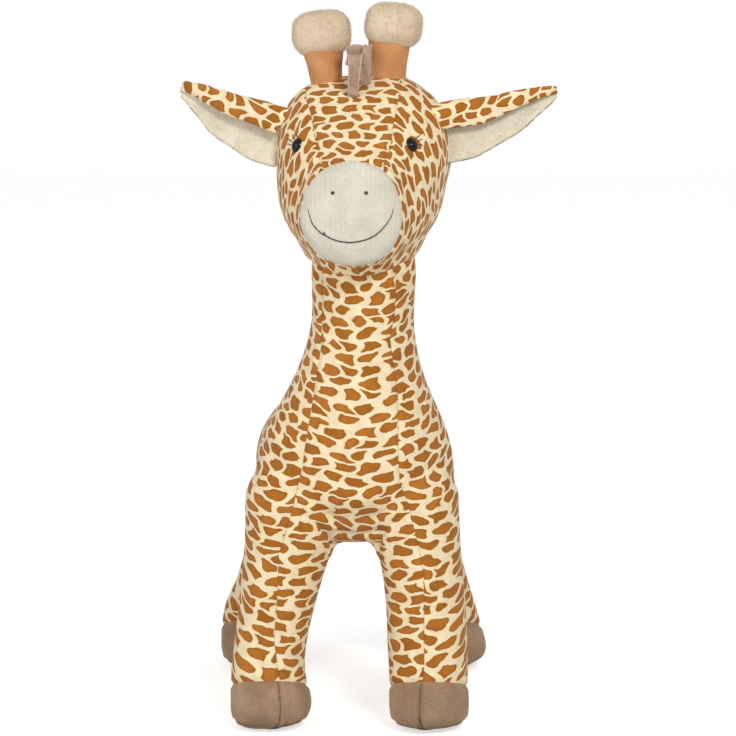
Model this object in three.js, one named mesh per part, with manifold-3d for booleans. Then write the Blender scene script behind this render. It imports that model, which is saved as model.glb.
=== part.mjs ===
// A standing stuffed giraffe, sewn from short plush and filled with fibre.
// Millimetres, +Z up. The giraffe faces -Y, and its own left side is at +X.
import * as THREE from 'three';
import { mergeVertices } from 'three/addons/utils/BufferGeometryUtils.js';
import Module from 'manifold-3d';

const wasm = await Module();
wasm.setup();

// Fabric and fits
const PLUSH = 3; // wall of a cover: fabric with its pile
const GAP = 0.3; // between pieces that lie against each other
const PLAY = 0.6; // round a part that flexes in its seat
const SLIVER = 0.02; // edges shorter than this are closed up after a cut

// How finely the forms are made
const SIDES = 18; // corners of a stuffed ring
const FILL_SIDES = 9; // corners of a hollow's ring and of its filling's, which nobody sees
const SMALL_SIDES = 14; // corners of a small ring

// Trunk, a barrel that lies along Y
const TRUNK_WIDTH = 182;
const TRUNK_HEIGHT = 136;
const TRUNK_AXIS_HEIGHT = 232;
const TRUNK_FRONT = -70; // where the chest starts to close
const TRUNK_BACK = 92; // where the rump starts to close
const CHEST_BULGE = 40;
const RUMP_BULGE = 50;

// Neck, which spreads over the shoulders and is sewn to the trunk there
const NECK_TOP_RADIUS = 46.5;
const NECK_TOP_HEIGHT = 405; // the middle of the round neck top, about which the head nods
const NECK_INSET = 20; // of the neck's middle behind the start of the chest
const NECK_LEAN = 8; // of the top, to the giraffe's left
const SHOULDER_DROP = 16; // of the neck's seam below the trunk's middle
const SHOULDER_STANDOUT = 1; // of the neck's seam at each side of the trunk
const SHOULDER_DEPTH = 140;

// Head, in its own frame: the origin is the middle of the neck top
const HEAD_WIDTH = 156;
const HEAD_HEIGHT = 160;
const HEAD_MIDDLE_HEIGHT = 97;
const SKULL_BACK = 40; // where the skull starts to close
const SKULL_BULGE = 50;
const MUZZLE_REACH = 88; // from the neck's middle to the edge of the muzzle patch
const MUZZLE_WIDTH = 87;
const MUZZLE_HEIGHT = 90;
const MUZZLE_MIDDLE_HEIGHT = 63;
const MUZZLE_BULGE = 14;
const HEAD_TURN = -5.5; // degrees, towards the giraffe's right

// Mouth and nostrils, in embroidery thread
const MOUTH_INSET = 8; // of the corners of the mouth from the sides of the muzzle
const MOUTH_DROP = 34;
const MOUTH_RISE = 10; // of the corners of the mouth above the middle of the muzzle
const NOSTRIL_SPACING = 29.5;
const NOSTRIL_RISE = 20;
const NOSTRIL_RADIUS = 1.9;
const THREAD_RADIUS = 0.7;
const STITCH_LIFT = 0.8; // the thread lies on top of the pile

// Eyes: a moulded dome with a shank, held by a washer inside the head
const EYE_SPACING = 103;
const EYE_RISE = 24; // above the middle of the head
const EYE_RADIUS = 7;
const EYE_DOME = 4;
const EYE_STANDOFF = 1; // the eye's flat back lies on the pile, whose curve rises this much under it
const SHANK_RADIUS = 2;
const SHANK_LENGTH = 12;
const WASHER_RADIUS = 7.5;
const WASHER_THICKNESS = 1.6;
const WASHER_DEPTH = 6; // of its middle below the eye's back
const LASH_LENGTH = 6;
const LASH_LIFT = 1; // of a lash's tip

// Horns
const HORN_SEAT = 9; // of a horn's pivot below the top of the head
const HORN_Y = 10;
const HORN_BASE_RADIUS = 15;
const HORN_TOP_RADIUS = 17.5;
const STEM_LENGTH = 38;
const KNOB_WIDTH = 53;
const KNOB_DEPTH = 42;
const KNOB_HEIGHT = 41;
const KNOB_SINK = 2; // of the stem's end into the knob
const HORN_SWING = { forward: 6, back: 12 }; // degrees
const HORN_PLAY = 0.8; // round the foot of a horn, which rocks in its seat
const HORN_SPACING = 54;
const HORN_LEAN = 4.5; // of a stem's top away from the other horn
const HORN_SHIFT = 2; // of both horns to the giraffe's right
const HORN_UNEVEN = 3; // the left stem is longer and the right one shorter by this

// Ears: a plush outer leaf and a lining, with the upper edge folded over to the front
const EAR_LENGTH = 104;
const EAR_LOWER = 27; // the leaf below its middle line, at the head
const EAR_UPPER = 25; // the leaf above its middle line, at the head
const EAR_FOLD_RADIUS = 8.5;
const EAR_BOW = 3;
const EAR_ROOT = 8; // how far the uncut leaf runs into the head
const EAR_Y = 6;
const EAR_RISE = 33; // above the middle of the head
const LEAF = 2; // each layer of an ear
const LINING_SHORT = 17; // how far the lining stops short of the ear's tip
const EAR_SWING = { forward: 15, back: 25 }; // degrees
const EAR_TILT = { left: 19, right: 24 }; // degrees, tip up
const EAR_SWEEP = { left: 6, right: 4 }; // degrees, tip back

// Legs: a round top seated in the trunk, a tapering tube and a hoof with a flat sole
const LEG_TOP_RADIUS = 44;
const LEG_SPACING = 12; // between the tops of a left and a right leg
const HIP_DROP = 39; // of the hips below the trunk's middle
const REAR_HIP_INSET = 8; // of the rear hips before the start of the rump
const ANKLE_RADIUS = 35.5;
const HOOF_WIDTH = 73;
const HOOF_LENGTH = 80;
const HOOF_HEIGHT = 47;
const HOOF_ROUNDING = 22;
const HOOF_SEAM_TILT = 9; // degrees, with the seam higher at the toe
const SOLE_CUT = 0.5;
const FRONT_STANCE = 142; // between the middles of the front feet
const REAR_STANCE = 189;
const FRONT_FEET_SHIFT = 4; // of both front feet to the giraffe's right
const FRONT_STRIDE = 17; // of the front feet before the start of the chest
const REAR_STRIDE = 51; // of the rear feet behind the start of the rump
const FRONT_TOE_IN = 14; // degrees
const REAR_TOE_IN = -4;
const LEG_SWING = 10; // degrees, forward and back
const LEG_PLAY = 0.8; // round the top of a leg, which swings in the trunk

// Tail
const TAIL_RISE = 20; // of its root above the trunk's middle
const TAIL_RADIUS = 8.5;
const TAIL_LENGTH = 96;
const TAIL_LEAN = 16; // how far the tip stands out behind the root
const TUFT_LENGTH = 42;
const TUFT_STRIPS = 5;

// Ribbon of the forelock, the mane and the tail
const RIBBON_WIDTH = 8.5;
const RIBBON_THICKNESS = 1.2;
const TAPE_THICKNESS = 2;
const LOOP_DEPTH = 6; // of a folded ribbon, front to back
const FORELOCK_HEIGHT = 40;
const FORELOCK_REACH = 36; // of the front loop before the horns
const FORELOCK_PITCH = 18; // between its two loops
const FORELOCK_OFFSET = 2.5; // of each loop to its own side
const FORELOCK_LIFT = 2.5; // of the loops' ends above the tape's underside
const MANE_HEIGHT = 24; // of a loop of the mane
const MANE_END_GAP = 14; // of the neck's mane from the neck top and from the trunk
const CROWN_PITCH = 20; // degrees between the loops on the head
const CROWN_LOOPS = 5;
const NECK_LOOPS = 6;

const MATERIALS = {
  plush: new THREE.MeshStandardMaterial({ color: '#d8a15c', roughness: 0.9, metalness: 0 }),
  muzzlePlush: new THREE.MeshStandardMaterial({ color: '#e0d9c6', roughness: 0.9, metalness: 0 }),
  creamPlush: new THREE.MeshStandardMaterial({ color: '#dcc6aa', roughness: 0.95, metalness: 0 }),
  suede: new THREE.MeshStandardMaterial({ color: '#c58550', roughness: 0.75, metalness: 0 }),
  hoofVelour: new THREE.MeshStandardMaterial({ color: '#97775c', roughness: 0.85, metalness: 0 }),
  ribbon: new THREE.MeshStandardMaterial({ color: '#9a7a66', roughness: 0.7, metalness: 0 }),
  eye: new THREE.MeshStandardMaterial({ color: '#0c0a09', roughness: 0.08, metalness: 0 }),
  washer: new THREE.MeshStandardMaterial({ color: '#efeee8', roughness: 0.5, metalness: 0 }),
  thread: new THREE.MeshStandardMaterial({ color: '#3b3026', roughness: 0.8, metalness: 0 }),
  filling: new THREE.MeshStandardMaterial({ color: '#f4f3ef', roughness: 1, metalness: 0 }),
};

const X_AXIS = new THREE.Vector3(1, 0, 0);
const UP = new THREE.Vector3(0, 0, 1);
const DOWN = new THREE.Vector3(0, 0, -1);
const FRONT = new THREE.Vector3(0, -1, 0);
const BACK = new THREE.Vector3(0, 1, 0);
const SIDE_SIGNS = { left: 1, right: -1 };
const { lerp, smoothstep, degToRad: radians } = THREE.MathUtils;

// ---- Making solids

// Turns a closed geometry into a manifold-3d solid.
function toSolid(geometry) {
  const bare = new THREE.BufferGeometry();
  bare.setAttribute('position', geometry.getAttribute('position').clone());
  if (geometry.index) bare.setIndex(geometry.index);
  const merged = mergeVertices(bare, SLIVER / 100);
  return new wasm.Manifold(new wasm.Mesh({
    numProp: 3,
    vertProperties: merged.attributes.position.array,
    triVerts: new Uint32Array(merged.index.array),
  }));
}

// Turns a manifold-3d solid into a geometry.
function toGeometry(solid) {
  const mesh = solid.simplify(SLIVER).getMesh();
  const geometry = new THREE.BufferGeometry();
  geometry.setAttribute('position', new THREE.BufferAttribute(new Float32Array(mesh.vertProperties), 3));
  geometry.setIndex(new THREE.BufferAttribute(new Uint32Array(mesh.triVerts), 1));
  geometry.computeVertexNormals();
  return geometry;
}

// Adds a solid to a group as a named mesh. The origin is the group's place in the frame of the solid.
function addPiece(group, name, solid, material, origin = new THREE.Vector3()) {
  const geometry = toGeometry(solid);
  geometry.translate(-origin.x, -origin.y, -origin.z);
  const mesh = new THREE.Mesh(geometry, material);
  mesh.name = name;
  group.add(mesh);
}

// A cut can leave slivers of cloth: this keeps the piece itself.
function largest(solid) {
  return solid.decompose().sort((a, b) => b.volume() - a.volume())[0];
}

// A point of a ring with rounded corners: square 2 is an ellipse, and more is squarer.
function ringPoint(angle, { wide, deep, square }) {
  const c = Math.cos(angle);
  const s = Math.sin(angle);
  const power = 2 / (s >= 0 ? square.x : square.y);
  return [wide * Math.sign(c) * Math.abs(c) ** power, deep * Math.sign(s) * Math.abs(s) ** power];
}

// The rings of a stuffed form. Each station has its middle at, its half sizes wide (along X) and deep,
// and may have topSquare, lowSquare and turn. A dome closes an end, grow moves the whole skin out, and
// axis keeps all rings parallel.
function stuffedRings(stations, options) {
  const { startDome = 0, endDome = 0, startSquare = 2, endSquare = 2 } = options;
  const { rings = 3, domeRings = 3, grow = 0, axis } = options;
  const curveOf = (toVector) => new THREE.CatmullRomCurve3(stations.map(toVector), false, 'catmullrom');
  const middles = new THREE.CatmullRomCurve3(stations.map((s) => s.at), false, 'centripetal');
  const sizes = curveOf((s) => new THREE.Vector3(s.wide, s.deep, s.turn ?? 0));
  const squares = curveOf((s) => new THREE.Vector3(s.topSquare ?? 2, s.lowSquare ?? 2, 0));
  const ringAt = (t, shift, size) => {
    const tangent = axis ?? middles.getTangent(t);
    const side = X_AXIS.clone().addScaledVector(tangent, -tangent.x).normalize();
    const spread = sizes.getPoint(t);
    side.applyAxisAngle(tangent, spread.z);
    return {
      middle: middles.getPoint(t).addScaledVector(tangent, shift),
      side,
      up: tangent.clone().cross(side),
      wide: (spread.x + grow) * size,
      deep: (spread.y + grow) * size,
      square: squares.getPoint(t),
    };
  };
  const domeSize = (share, square) => (1 - share ** square) ** (1 / square);
  const domeShares = Array.from({ length: domeRings - 1 }, (_, i) =>
    Math.sin(((i + 1) / domeRings) * Math.PI / 2));
  const domeRing = (t, reach, square) => (share) => ringAt(t, share * reach, domeSize(share, square));
  const startReach = startDome ? startDome + grow : 0;
  const endReach = endDome ? endDome + grow : 0;
  const made = Array.from({ length: rings + 1 }, (_, i) => ringAt(i / rings, 0, 1));
  if (startReach) made.unshift(...domeShares.map(domeRing(0, -startReach, startSquare)).reverse());
  if (endReach) made.push(...domeShares.map(domeRing(1, endReach, endSquare)));
  return { made, first: ringAt(0, -startReach, 0).middle, last: ringAt(1, endReach, 0).middle };
}

// A stuffed form as a closed geometry.
function stuffedGeometry(stations, options = {}) {
  const { made, first, last } = stuffedRings(stations, options);
  const sides = options.sides ?? SIDES;
  const points = [first];
  for (const ring of made) {
    for (let k = 0; k < sides; k += 1) {
      const [across, rise] = ringPoint((k / sides) * 2 * Math.PI, ring);
      const point = ring.middle.clone().addScaledVector(ring.side, across);
      points.push(point.addScaledVector(ring.up, rise));
    }
  }
  points.push(last);
  const end = points.length - 1;
  const at = (ring, k) => 1 + ring * sides + (k % sides);
  const faces = [];
  for (let k = 0; k < sides; k += 1) {
    faces.push(0, at(0, k + 1), at(0, k));
    for (let ring = 0; ring < made.length - 1; ring += 1) {
      faces.push(at(ring, k), at(ring, k + 1), at(ring + 1, k + 1));
      faces.push(at(ring, k), at(ring + 1, k + 1), at(ring + 1, k));
    }
    faces.push(end, at(made.length - 1, k), at(made.length - 1, k + 1));
  }
  const geometry = new THREE.BufferGeometry().setFromPoints(points);
  geometry.setIndex(faces);
  return geometry;
}

const stuffedSolid = (stations, options) => toSolid(stuffedGeometry(stations, options));

// The three layers of a stuffed form: the whole form, the hollow of its cover, and its filling.
function stuffedLayers(stations, options) {
  const inner = { ...options, sides: FILL_SIDES };
  return {
    whole: stuffedSolid(stations, options),
    hollow: stuffedSolid(stations, { ...inner, grow: -PLUSH }),
    filling: stuffedSolid(stations, { ...inner, grow: -PLUSH - GAP }),
  };
}

// Where a ray meets a surface, with the outward normal there.
function hitSurface(geometry, from, direction) {
  const mesh = new THREE.Mesh(geometry, new THREE.MeshBasicMaterial({ side: THREE.DoubleSide }));
  const hits = new THREE.Raycaster(from, direction.clone().normalize()).intersectObject(mesh);
  if (!hits.length) throw new Error('a sewn-on piece misses the surface that it lies on');
  return { point: hits[0].point, normal: hits[0].face.normal.clone() };
}

// A cord of a given section along points, as a closed solid.
function sweptSolid(section, points, steps) {
  const extrudePath = new THREE.CatmullRomCurve3(points);
  return toSolid(new THREE.ExtrudeGeometry(section, { steps, extrudePath, bevelEnabled: false }));
}

// A round section with few sides, for a cord.
function roundSection(radius, sides) {
  const corners = Array.from({ length: sides }, (_, k) => (k / sides) * 2 * Math.PI);
  return new THREE.Shape(corners.map((a) => new THREE.Vector2(radius * Math.cos(a), radius * Math.sin(a))));
}

// A flat section: the sweep lays its first direction across a path that runs up or down the giraffe.
function flatSection(width, thickness) {
  const corners = [[-1, -1], [1, -1], [1, 1], [-1, 1]];
  return new THREE.Shape(corners.map(([x, y]) => new THREE.Vector2(x * width / 2, y * thickness / 2)));
}

// A round piece about Z from its profile of [radius, height] points.
function turnedSolid(profile) {
  const points = profile.map(([radius, height]) => new THREE.Vector2(radius, height));
  return toSolid(new THREE.LatheGeometry(points, SMALL_SIDES).rotateX(Math.PI / 2));
}

// A ribbon folded into a loop that stands on its two ends, with the fold at the top.
function loopSolid(height) {
  const outer = LOOP_DEPTH / 2;
  const inner = outer - RIBBON_THICKNESS;
  const shoulder = height - outer;
  const shape = new THREE.Shape();
  shape.moveTo(-outer, 0);
  shape.lineTo(-inner, 0);
  shape.lineTo(-inner, shoulder);
  shape.absarc(0, shoulder, inner, Math.PI, 0, true);
  shape.lineTo(inner, 0);
  shape.lineTo(outer, 0);
  shape.lineTo(outer, shoulder);
  shape.absarc(0, shoulder, outer, 0, Math.PI, false);
  const options = { depth: RIBBON_WIDTH, bevelEnabled: false, curveSegments: 3 };
  const geometry = new THREE.ExtrudeGeometry(shape, options);
  // The shape's X becomes front to back and its Y becomes up.
  geometry.translate(0, 0, -RIBBON_WIDTH / 2);
  geometry.rotateX(Math.PI / 2);
  geometry.rotateZ(Math.PI / 2);
  return toSolid(geometry);
}

// Places a solid: turned about its Z, then with its Z along normal, then moved to point.
function placed(solid, point, normal, turn = 0) {
  const lean = new THREE.Quaternion().setFromUnitVectors(UP, normal.clone().normalize());
  const matrix = new THREE.Matrix4().makeRotationFromQuaternion(lean);
  matrix.multiply(new THREE.Matrix4().makeRotationZ(turn));
  matrix.setPosition(point);
  return solid.transform(matrix.elements);
}

// ---- Forms of trunk, neck, head and legs

// Each row: the share of the way from rump to chest, and the shares of full width and height.
const trunkShares = [
  [0, 0.9, 0.9],
  [0.33, 0.99, 0.99],
  [0.67, 1, 1],
  [1, 0.86, 0.92],
];
const trunkStations = trunkShares.map(([alongShare, wideShare, deepShare]) => ({
  at: new THREE.Vector3(0, lerp(TRUNK_BACK, TRUNK_FRONT, alongShare), TRUNK_AXIS_HEIGHT),
  wide: wideShare * TRUNK_WIDTH / 2,
  deep: deepShare * TRUNK_HEIGHT / 2,
}));
const trunkEnds = { startDome: RUMP_BULGE, endDome: CHEST_BULGE, rings: 5, domeRings: 4 };

const neckMiddleY = TRUNK_FRONT + NECK_INSET;
const neckTop = new THREE.Vector3(NECK_LEAN, neckMiddleY, NECK_TOP_HEIGHT);
// Each row: the share of the rise from seam to neck top, and the shares of the spread to the seam's
// width and depth.
const neckShares = [
  [0, 1, 1],
  [0.122, 0.96, 0.98],
  [0.238, 0.83, 0.86],
  [0.354, 0.61, 0.66],
  [0.471, 0.36, 0.42],
  [0.587, 0.165, 0.22],
  [0.704, 0.035, 0.08],
  [0.82, -0.02, 0],
  [1, 0, 0],
];
const neckStations = neckShares.map(([riseShare, wideShare, deepShare]) => ({
  at: new THREE.Vector3(
    NECK_LEAN * smoothstep(riseShare, 0, 1),
    neckMiddleY,
    lerp(TRUNK_AXIS_HEIGHT - SHOULDER_DROP, NECK_TOP_HEIGHT, riseShare)),
  wide: lerp(NECK_TOP_RADIUS, TRUNK_WIDTH / 2 + SHOULDER_STANDOUT, wideShare),
  deep: lerp(NECK_TOP_RADIUS, SHOULDER_DEPTH / 2, deepShare),
}));
const neckEnds = { axis: UP, endDome: NECK_TOP_RADIUS, rings: 11, domeRings: 4 };

// Each row: the share of the way from skull to muzzle, the shares of the change from skull size to muzzle
// size in width, height and middle height, and the squareness above and below.
const headShares = [
  [0, 0.01, 0.02, -0.06, 2.6, 2.2],
  [0.3, 0, 0, 0, 3, 2.3],
  [0.55, 0.26, 0.31, 0.29, 2.7, 2.3],
  [0.735, 0.61, 0.66, 0.7, 2.4, 2.2],
  [0.875, 0.87, 0.86, 0.94, 2.2, 2.1],
  [1, 1, 1, 1, 2.1, 2.1],
];
const headStations = headShares.map((row) => {
  const [alongShare, wideShare, deepShare, middleShare, topSquare, lowSquare] = row;
  const height = lerp(HEAD_MIDDLE_HEIGHT, MUZZLE_MIDDLE_HEIGHT, middleShare);
  return {
    at: new THREE.Vector3(0, lerp(SKULL_BACK, -MUZZLE_REACH, alongShare), height),
    wide: lerp(HEAD_WIDTH, MUZZLE_WIDTH, wideShare) / 2,
    deep: lerp(HEAD_HEIGHT, MUZZLE_HEIGHT, deepShare) / 2,
    topSquare,
    lowSquare,
  };
});
const headEnds = { axis: FRONT, startDome: SKULL_BULGE, endDome: MUZZLE_BULGE, rings: 8, domeRings: 4 };
const headTop = HEAD_MIDDLE_HEIGHT + HEAD_HEIGHT / 2;

const neckGeometry = stuffedGeometry(neckStations, neckEnds);
const headGeometry = stuffedGeometry(headStations, headEnds);
const headLayers = stuffedLayers(headStations, headEnds);
const grownHead = stuffedSolid(headStations, { ...headEnds, grow: GAP });

const hipOut = LEG_TOP_RADIUS + LEG_SPACING / 2;
const hipHeight = TRUNK_AXIS_HEIGHT - HIP_DROP;

function legOf(sideName, isFront) {
  const side = SIDE_SIGNS[sideName];
  const out = (isFront ? FRONT_STANCE : REAR_STANCE) / 2;
  return {
    hip: new THREE.Vector3(side * hipOut, isFront ? TRUNK_FRONT : TRUNK_BACK - REAR_HIP_INSET, hipHeight),
    footX: side * out - (isFront ? FRONT_FEET_SHIFT : 0),
    footY: isFront ? TRUNK_FRONT - FRONT_STRIDE : TRUNK_BACK + REAR_STRIDE,
    turn: side * radians(isFront ? FRONT_TOE_IN : REAR_TOE_IN),
  };
}

const LEGS = {
  front_left: legOf('left', true),
  front_right: legOf('right', true),
  rear_left: legOf('left', false),
  rear_right: legOf('right', false),
};

// Each row: the share of the way down, the share of the way out to the foot, the share of the change from
// ankle to leg top, and the share of the change from ankle to hoof.
const legShares = [
  [0, 0, 1, 0],
  [0.2, 0.42, 0.46, 0],
  [0.46, 0.75, 0.06, 0],
  [0.68, 0.95, -0.07, 0],
  [0.84, 1, 0, 0.4],
  [1, 1, 0, 1],
];

function legStations({ hip, footX, footY, turn }) {
  return legShares.map(([downShare, outShare, topShare, hoofShare]) => {
    const tube = lerp(ANKLE_RADIUS, LEG_TOP_RADIUS, topShare);
    return {
      at: new THREE.Vector3(
        lerp(hip.x, footX, outShare),
        lerp(hip.y, footY, outShare),
        lerp(hip.z, HOOF_ROUNDING - SOLE_CUT, downShare)),
      wide: lerp(tube, HOOF_WIDTH / 2, hoofShare),
      deep: lerp(tube, HOOF_LENGTH / 2, hoofShare),
      turn: turn * downShare,
    };
  });
}

const legDomes = { startDome: LEG_TOP_RADIUS, endDome: HOOF_ROUNDING, domeRings: 5 };
const legEnds = { ...legDomes, endSquare: 2.4, rings: 7 };

// The room that a leg needs in the trunk: its round top, and the tube below as it swings to and fro.
function legRoom(leg) {
  const swing = Math.tan(radians(LEG_SWING * 1.1));
  const room = legStations(leg).map((station) => ({
    ...station,
    deep: station.deep + (leg.hip.z - station.at.z) * swing,
  }));
  const coarse = LEG_TOP_RADIUS * (1 / Math.cos(Math.PI / FILL_SIDES) - 1);
  return stuffedSolid(room, { ...legEnds, grow: LEG_PLAY + coarse, sides: FILL_SIDES });
}

// ---- Legs

function buildLeg(name, leg) {
  const layers = stuffedLayers(legStations(leg), legEnds);
  const cover = layers.whole.trimByPlane(UP.toArray(), 0).subtract(layers.hollow);
  // The seam between leg and hoof is a plane that is higher at the toe.
  const tilt = radians(HOOF_SEAM_TILT);
  const normal = new THREE.Vector3(0, Math.sin(tilt), Math.cos(tilt));
  const offset = normal.dot(new THREE.Vector3(leg.footX, leg.footY, HOOF_HEIGHT));
  const upper = cover.trimByPlane(normal.toArray(), offset + GAP / 2);
  const hoof = cover.trimByPlane(normal.clone().negate().toArray(), -offset + GAP / 2);
  const group = new THREE.Group();
  group.name = `${name}_leg`;
  group.position.copy(leg.hip);
  addPiece(group, `${name}_leg_cover`, upper, MATERIALS.plush, leg.hip);
  addPiece(group, `${name}_hoof`, hoof, MATERIALS.hoofVelour, leg.hip);
  addPiece(group, `${name}_leg_filling`, layers.filling, MATERIALS.filling, leg.hip);
  return group;
}

// ---- Trunk and neck

function buildTorso() {
  const trunk = stuffedLayers(trunkStations, trunkEnds);
  const neck = stuffedLayers(neckStations, neckEnds);
  const aroundTrunk = stuffedSolid(trunkStations, { ...trunkEnds, grow: GAP });
  const pieces = {
    trunk_cover: [trunk.whole.subtract(trunk.hollow).subtract(neck.hollow), MATERIALS.plush],
    trunk_filling: [trunk.filling, MATERIALS.filling],
    neck_cover: [neck.whole.subtract(neck.hollow).subtract(aroundTrunk), MATERIALS.plush],
    neck_filling: [neck.filling.subtract(trunk.hollow), MATERIALS.filling],
  };
  const rooms = Object.values(LEGS).map(legRoom);
  const group = new THREE.Group();
  for (const [name, [solid, material]] of Object.entries(pieces)) {
    const cut = rooms.reduce((rest, room) => rest.subtract(room), solid);
    addPiece(group, name, largest(cut), material);
  }
  const grownNeck = stuffedSolid(neckStations, { ...neckEnds, grow: GAP });
  const body = grownNeck.add(aroundTrunk);
  addPiece(group, 'neck_mane', maneSolid(neckManeSpots(), MANE_HEIGHT, body), MATERIALS.ribbon);
  return group;
}

// ---- Mane: ribbon loops on a tape

// A mane along points on a surface, each with its normal, clear of the body under it.
function maneSolid(spots, loopHeight, body) {
  const lift = TAPE_THICKNESS / 2 + PLAY;
  const path = spots.map(({ point, normal }) => point.clone().addScaledVector(normal, lift));
  let mane = sweptSolid(flatSection(RIBBON_WIDTH, TAPE_THICKNESS), path, 2 * (spots.length - 1));
  spots.forEach(({ normal }, i) => {
    mane = mane.add(placed(loopSolid(loopHeight), path[i], normal));
  });
  return largest(mane.subtract(body));
}

function neckManeSpots() {
  const high = NECK_TOP_HEIGHT - MANE_END_GAP;
  const low = TRUNK_AXIS_HEIGHT + TRUNK_HEIGHT / 2 + MANE_END_GAP;
  return Array.from({ length: NECK_LOOPS }, (_, i) => {
    const height = lerp(high, low, i / (NECK_LOOPS - 1));
    const from = new THREE.Vector3(NECK_LEAN, TRUNK_BACK + RUMP_BULGE, height);
    return hitSurface(neckGeometry, from, FRONT);
  });
}

function crownManeSpots() {
  const middle = new THREE.Vector3(0, HORN_Y, HEAD_MIDDLE_HEIGHT);
  return Array.from({ length: CROWN_LOOPS }, (_, i) => {
    const angle = radians(CROWN_PITCH * (i + 0.4));
    const outward = new THREE.Vector3(0, Math.sin(angle), Math.cos(angle));
    const from = middle.clone().addScaledVector(outward, HEAD_HEIGHT);
    return hitSurface(headGeometry, from, outward.clone().negate());
  });
}

// ---- Head

const onFace = (x, z) => hitSurface(headGeometry, new THREE.Vector3(x, -2 * MUZZLE_REACH, z), BACK);

// ---- Horns

function hornStations(sideName, play = 0) {
  const side = SIDE_SIGNS[sideName];
  const base = new THREE.Vector3(side * HORN_SPACING / 2 - HORN_SHIFT, HORN_Y, headTop - HORN_SEAT);
  const rise = new THREE.Vector3(side * HORN_LEAN, 0, STEM_LENGTH + side * HORN_UNEVEN);
  const swing = play ? Math.tan(radians(HORN_SWING.back * 1.3)) : 0;
  // Each row: the share of the way up, and the share of the change from base to top radius.
  return [[0, 0], [0.5, 0.1], [1, 1]].map(([riseShare, radiusShare]) => {
    const at = base.clone().addScaledVector(rise, riseShare);
    const radius = lerp(HORN_BASE_RADIUS, HORN_TOP_RADIUS, radiusShare) + play;
    return { at, wide: radius, deep: radius + (at.z - base.z) * swing };
  });
}

const hornEnds = { startDome: HORN_BASE_RADIUS, sides: SMALL_SIDES };
const hornRoom = (sideName) =>
  stuffedSolid(hornStations(sideName, HORN_PLAY), { ...hornEnds, startDome: HORN_BASE_RADIUS + HORN_PLAY });

// Each row: the share of the knob's height from its middle, and the share of its width.
const knobShares = [
  [-0.16, 0.93],
  [0, 1],
  [0.16, 0.97],
];

function buildHorn(sideName) {
  const stations = hornStations(sideName);
  const knobMiddle = stations[2].at.clone().addScaledVector(UP, KNOB_HEIGHT / 2 - KNOB_SINK);
  knobMiddle.x += SIDE_SIGNS[sideName] * HORN_LEAN / 2;
  const knobStations = knobShares.map(([riseShare, wideShare]) => ({
    at: knobMiddle.clone().addScaledVector(UP, riseShare * KNOB_HEIGHT),
    wide: wideShare * KNOB_WIDTH / 2,
    deep: wideShare * KNOB_DEPTH / 2,
    topSquare: 2.3,
    lowSquare: 2.3,
  }));
  const dome = KNOB_HEIGHT * (0.5 - knobShares[2][0]);
  const domes = { startDome: dome, endDome: dome, startSquare: 2.3, endSquare: 2.3 };
  const knobEnds = { ...domes, rings: 2, sides: SMALL_SIDES };
  const aroundStem = stuffedSolid(stations, { ...hornEnds, endDome: SLIVER, grow: GAP });
  const group = new THREE.Group();
  group.name = `horn_${sideName}`;
  group.position.copy(stations[0].at);
  const stem = stuffedSolid(stations, hornEnds);
  const knob = stuffedSolid(knobStations, knobEnds).subtract(aroundStem);
  addPiece(group, `horn_stem_${sideName}`, stem, MATERIALS.suede, group.position);
  addPiece(group, `horn_knob_${sideName}`, knob, MATERIALS.creamPlush, group.position);
  return group;
}

// ---- Eyes

function eyeSolid() {
  const dome = Array.from({ length: 6 }, (_, i) => (i / 5) * Math.PI / 2).map((angle, i) =>
    [i === 5 ? 0 : EYE_RADIUS * Math.cos(angle), EYE_DOME * Math.sin(angle)]);
  return turnedSolid([[0, -SHANK_LENGTH], [SHANK_RADIUS, -SHANK_LENGTH], [SHANK_RADIUS, 0], ...dome]);
}

function washerSolid() {
  const bore = SHANK_RADIUS + GAP;
  const half = WASHER_THICKNESS / 2;
  const corners = [[bore, -half], [WASHER_RADIUS, -half], [WASHER_RADIUS, half], [bore, half]];
  return turnedSolid([...corners, corners[0]]);
}

// What the cover and the filling leave free for shank and washer, in the eye's frame.
function eyeRoom() {
  const shank = SHANK_RADIUS + GAP;
  const deep = SHANK_LENGTH + GAP;
  const washer = WASHER_RADIUS + GAP;
  const above = -WASHER_DEPTH + WASHER_THICKNESS / 2 + GAP;
  const below = -WASHER_DEPTH - WASHER_THICKNESS / 2 - GAP;
  return turnedSolid([
    [0, -deep], [shank, -deep], [shank, below], [washer, below],
    [washer, above], [shank, above], [shank, EYE_DOME], [0, EYE_DOME],
  ]);
}

// The lashes: a curved stitch round the eye's outer side, with rays.
function lashSolid(spot, side) {
  const across = new THREE.Vector3(side, 0, 0).addScaledVector(spot.normal, -side * spot.normal.x);
  across.normalize();
  const along = spot.normal.clone().cross(across).multiplyScalar(side);
  const lift = EYE_STANDOFF + GAP + THREAD_RADIUS;
  const at = (radius, angle, height) => spot.point.clone()
    .addScaledVector(across, radius * Math.cos(angle))
    .addScaledVector(along, radius * Math.sin(angle))
    .addScaledVector(spot.normal, height);
  const rim = EYE_RADIUS + GAP + THREAD_RADIUS;
  const angles = [-0.35, 0.05, 0.45, 0.85, 1.25];
  let lashes = sweptSolid(roundSection(THREAD_RADIUS, 5), angles.map((angle) => at(rim, angle, lift)), 6);
  for (const angle of angles.slice(0, 4)) {
    const tip = at(rim + LASH_LENGTH, angle + 0.15, lift + LASH_LIFT);
    const root = at(rim, angle, lift);
    lashes = lashes.add(sweptSolid(roundSection(THREAD_RADIUS * 0.8, 4), [root, tip], 1));
  }
  return lashes;
}

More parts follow.
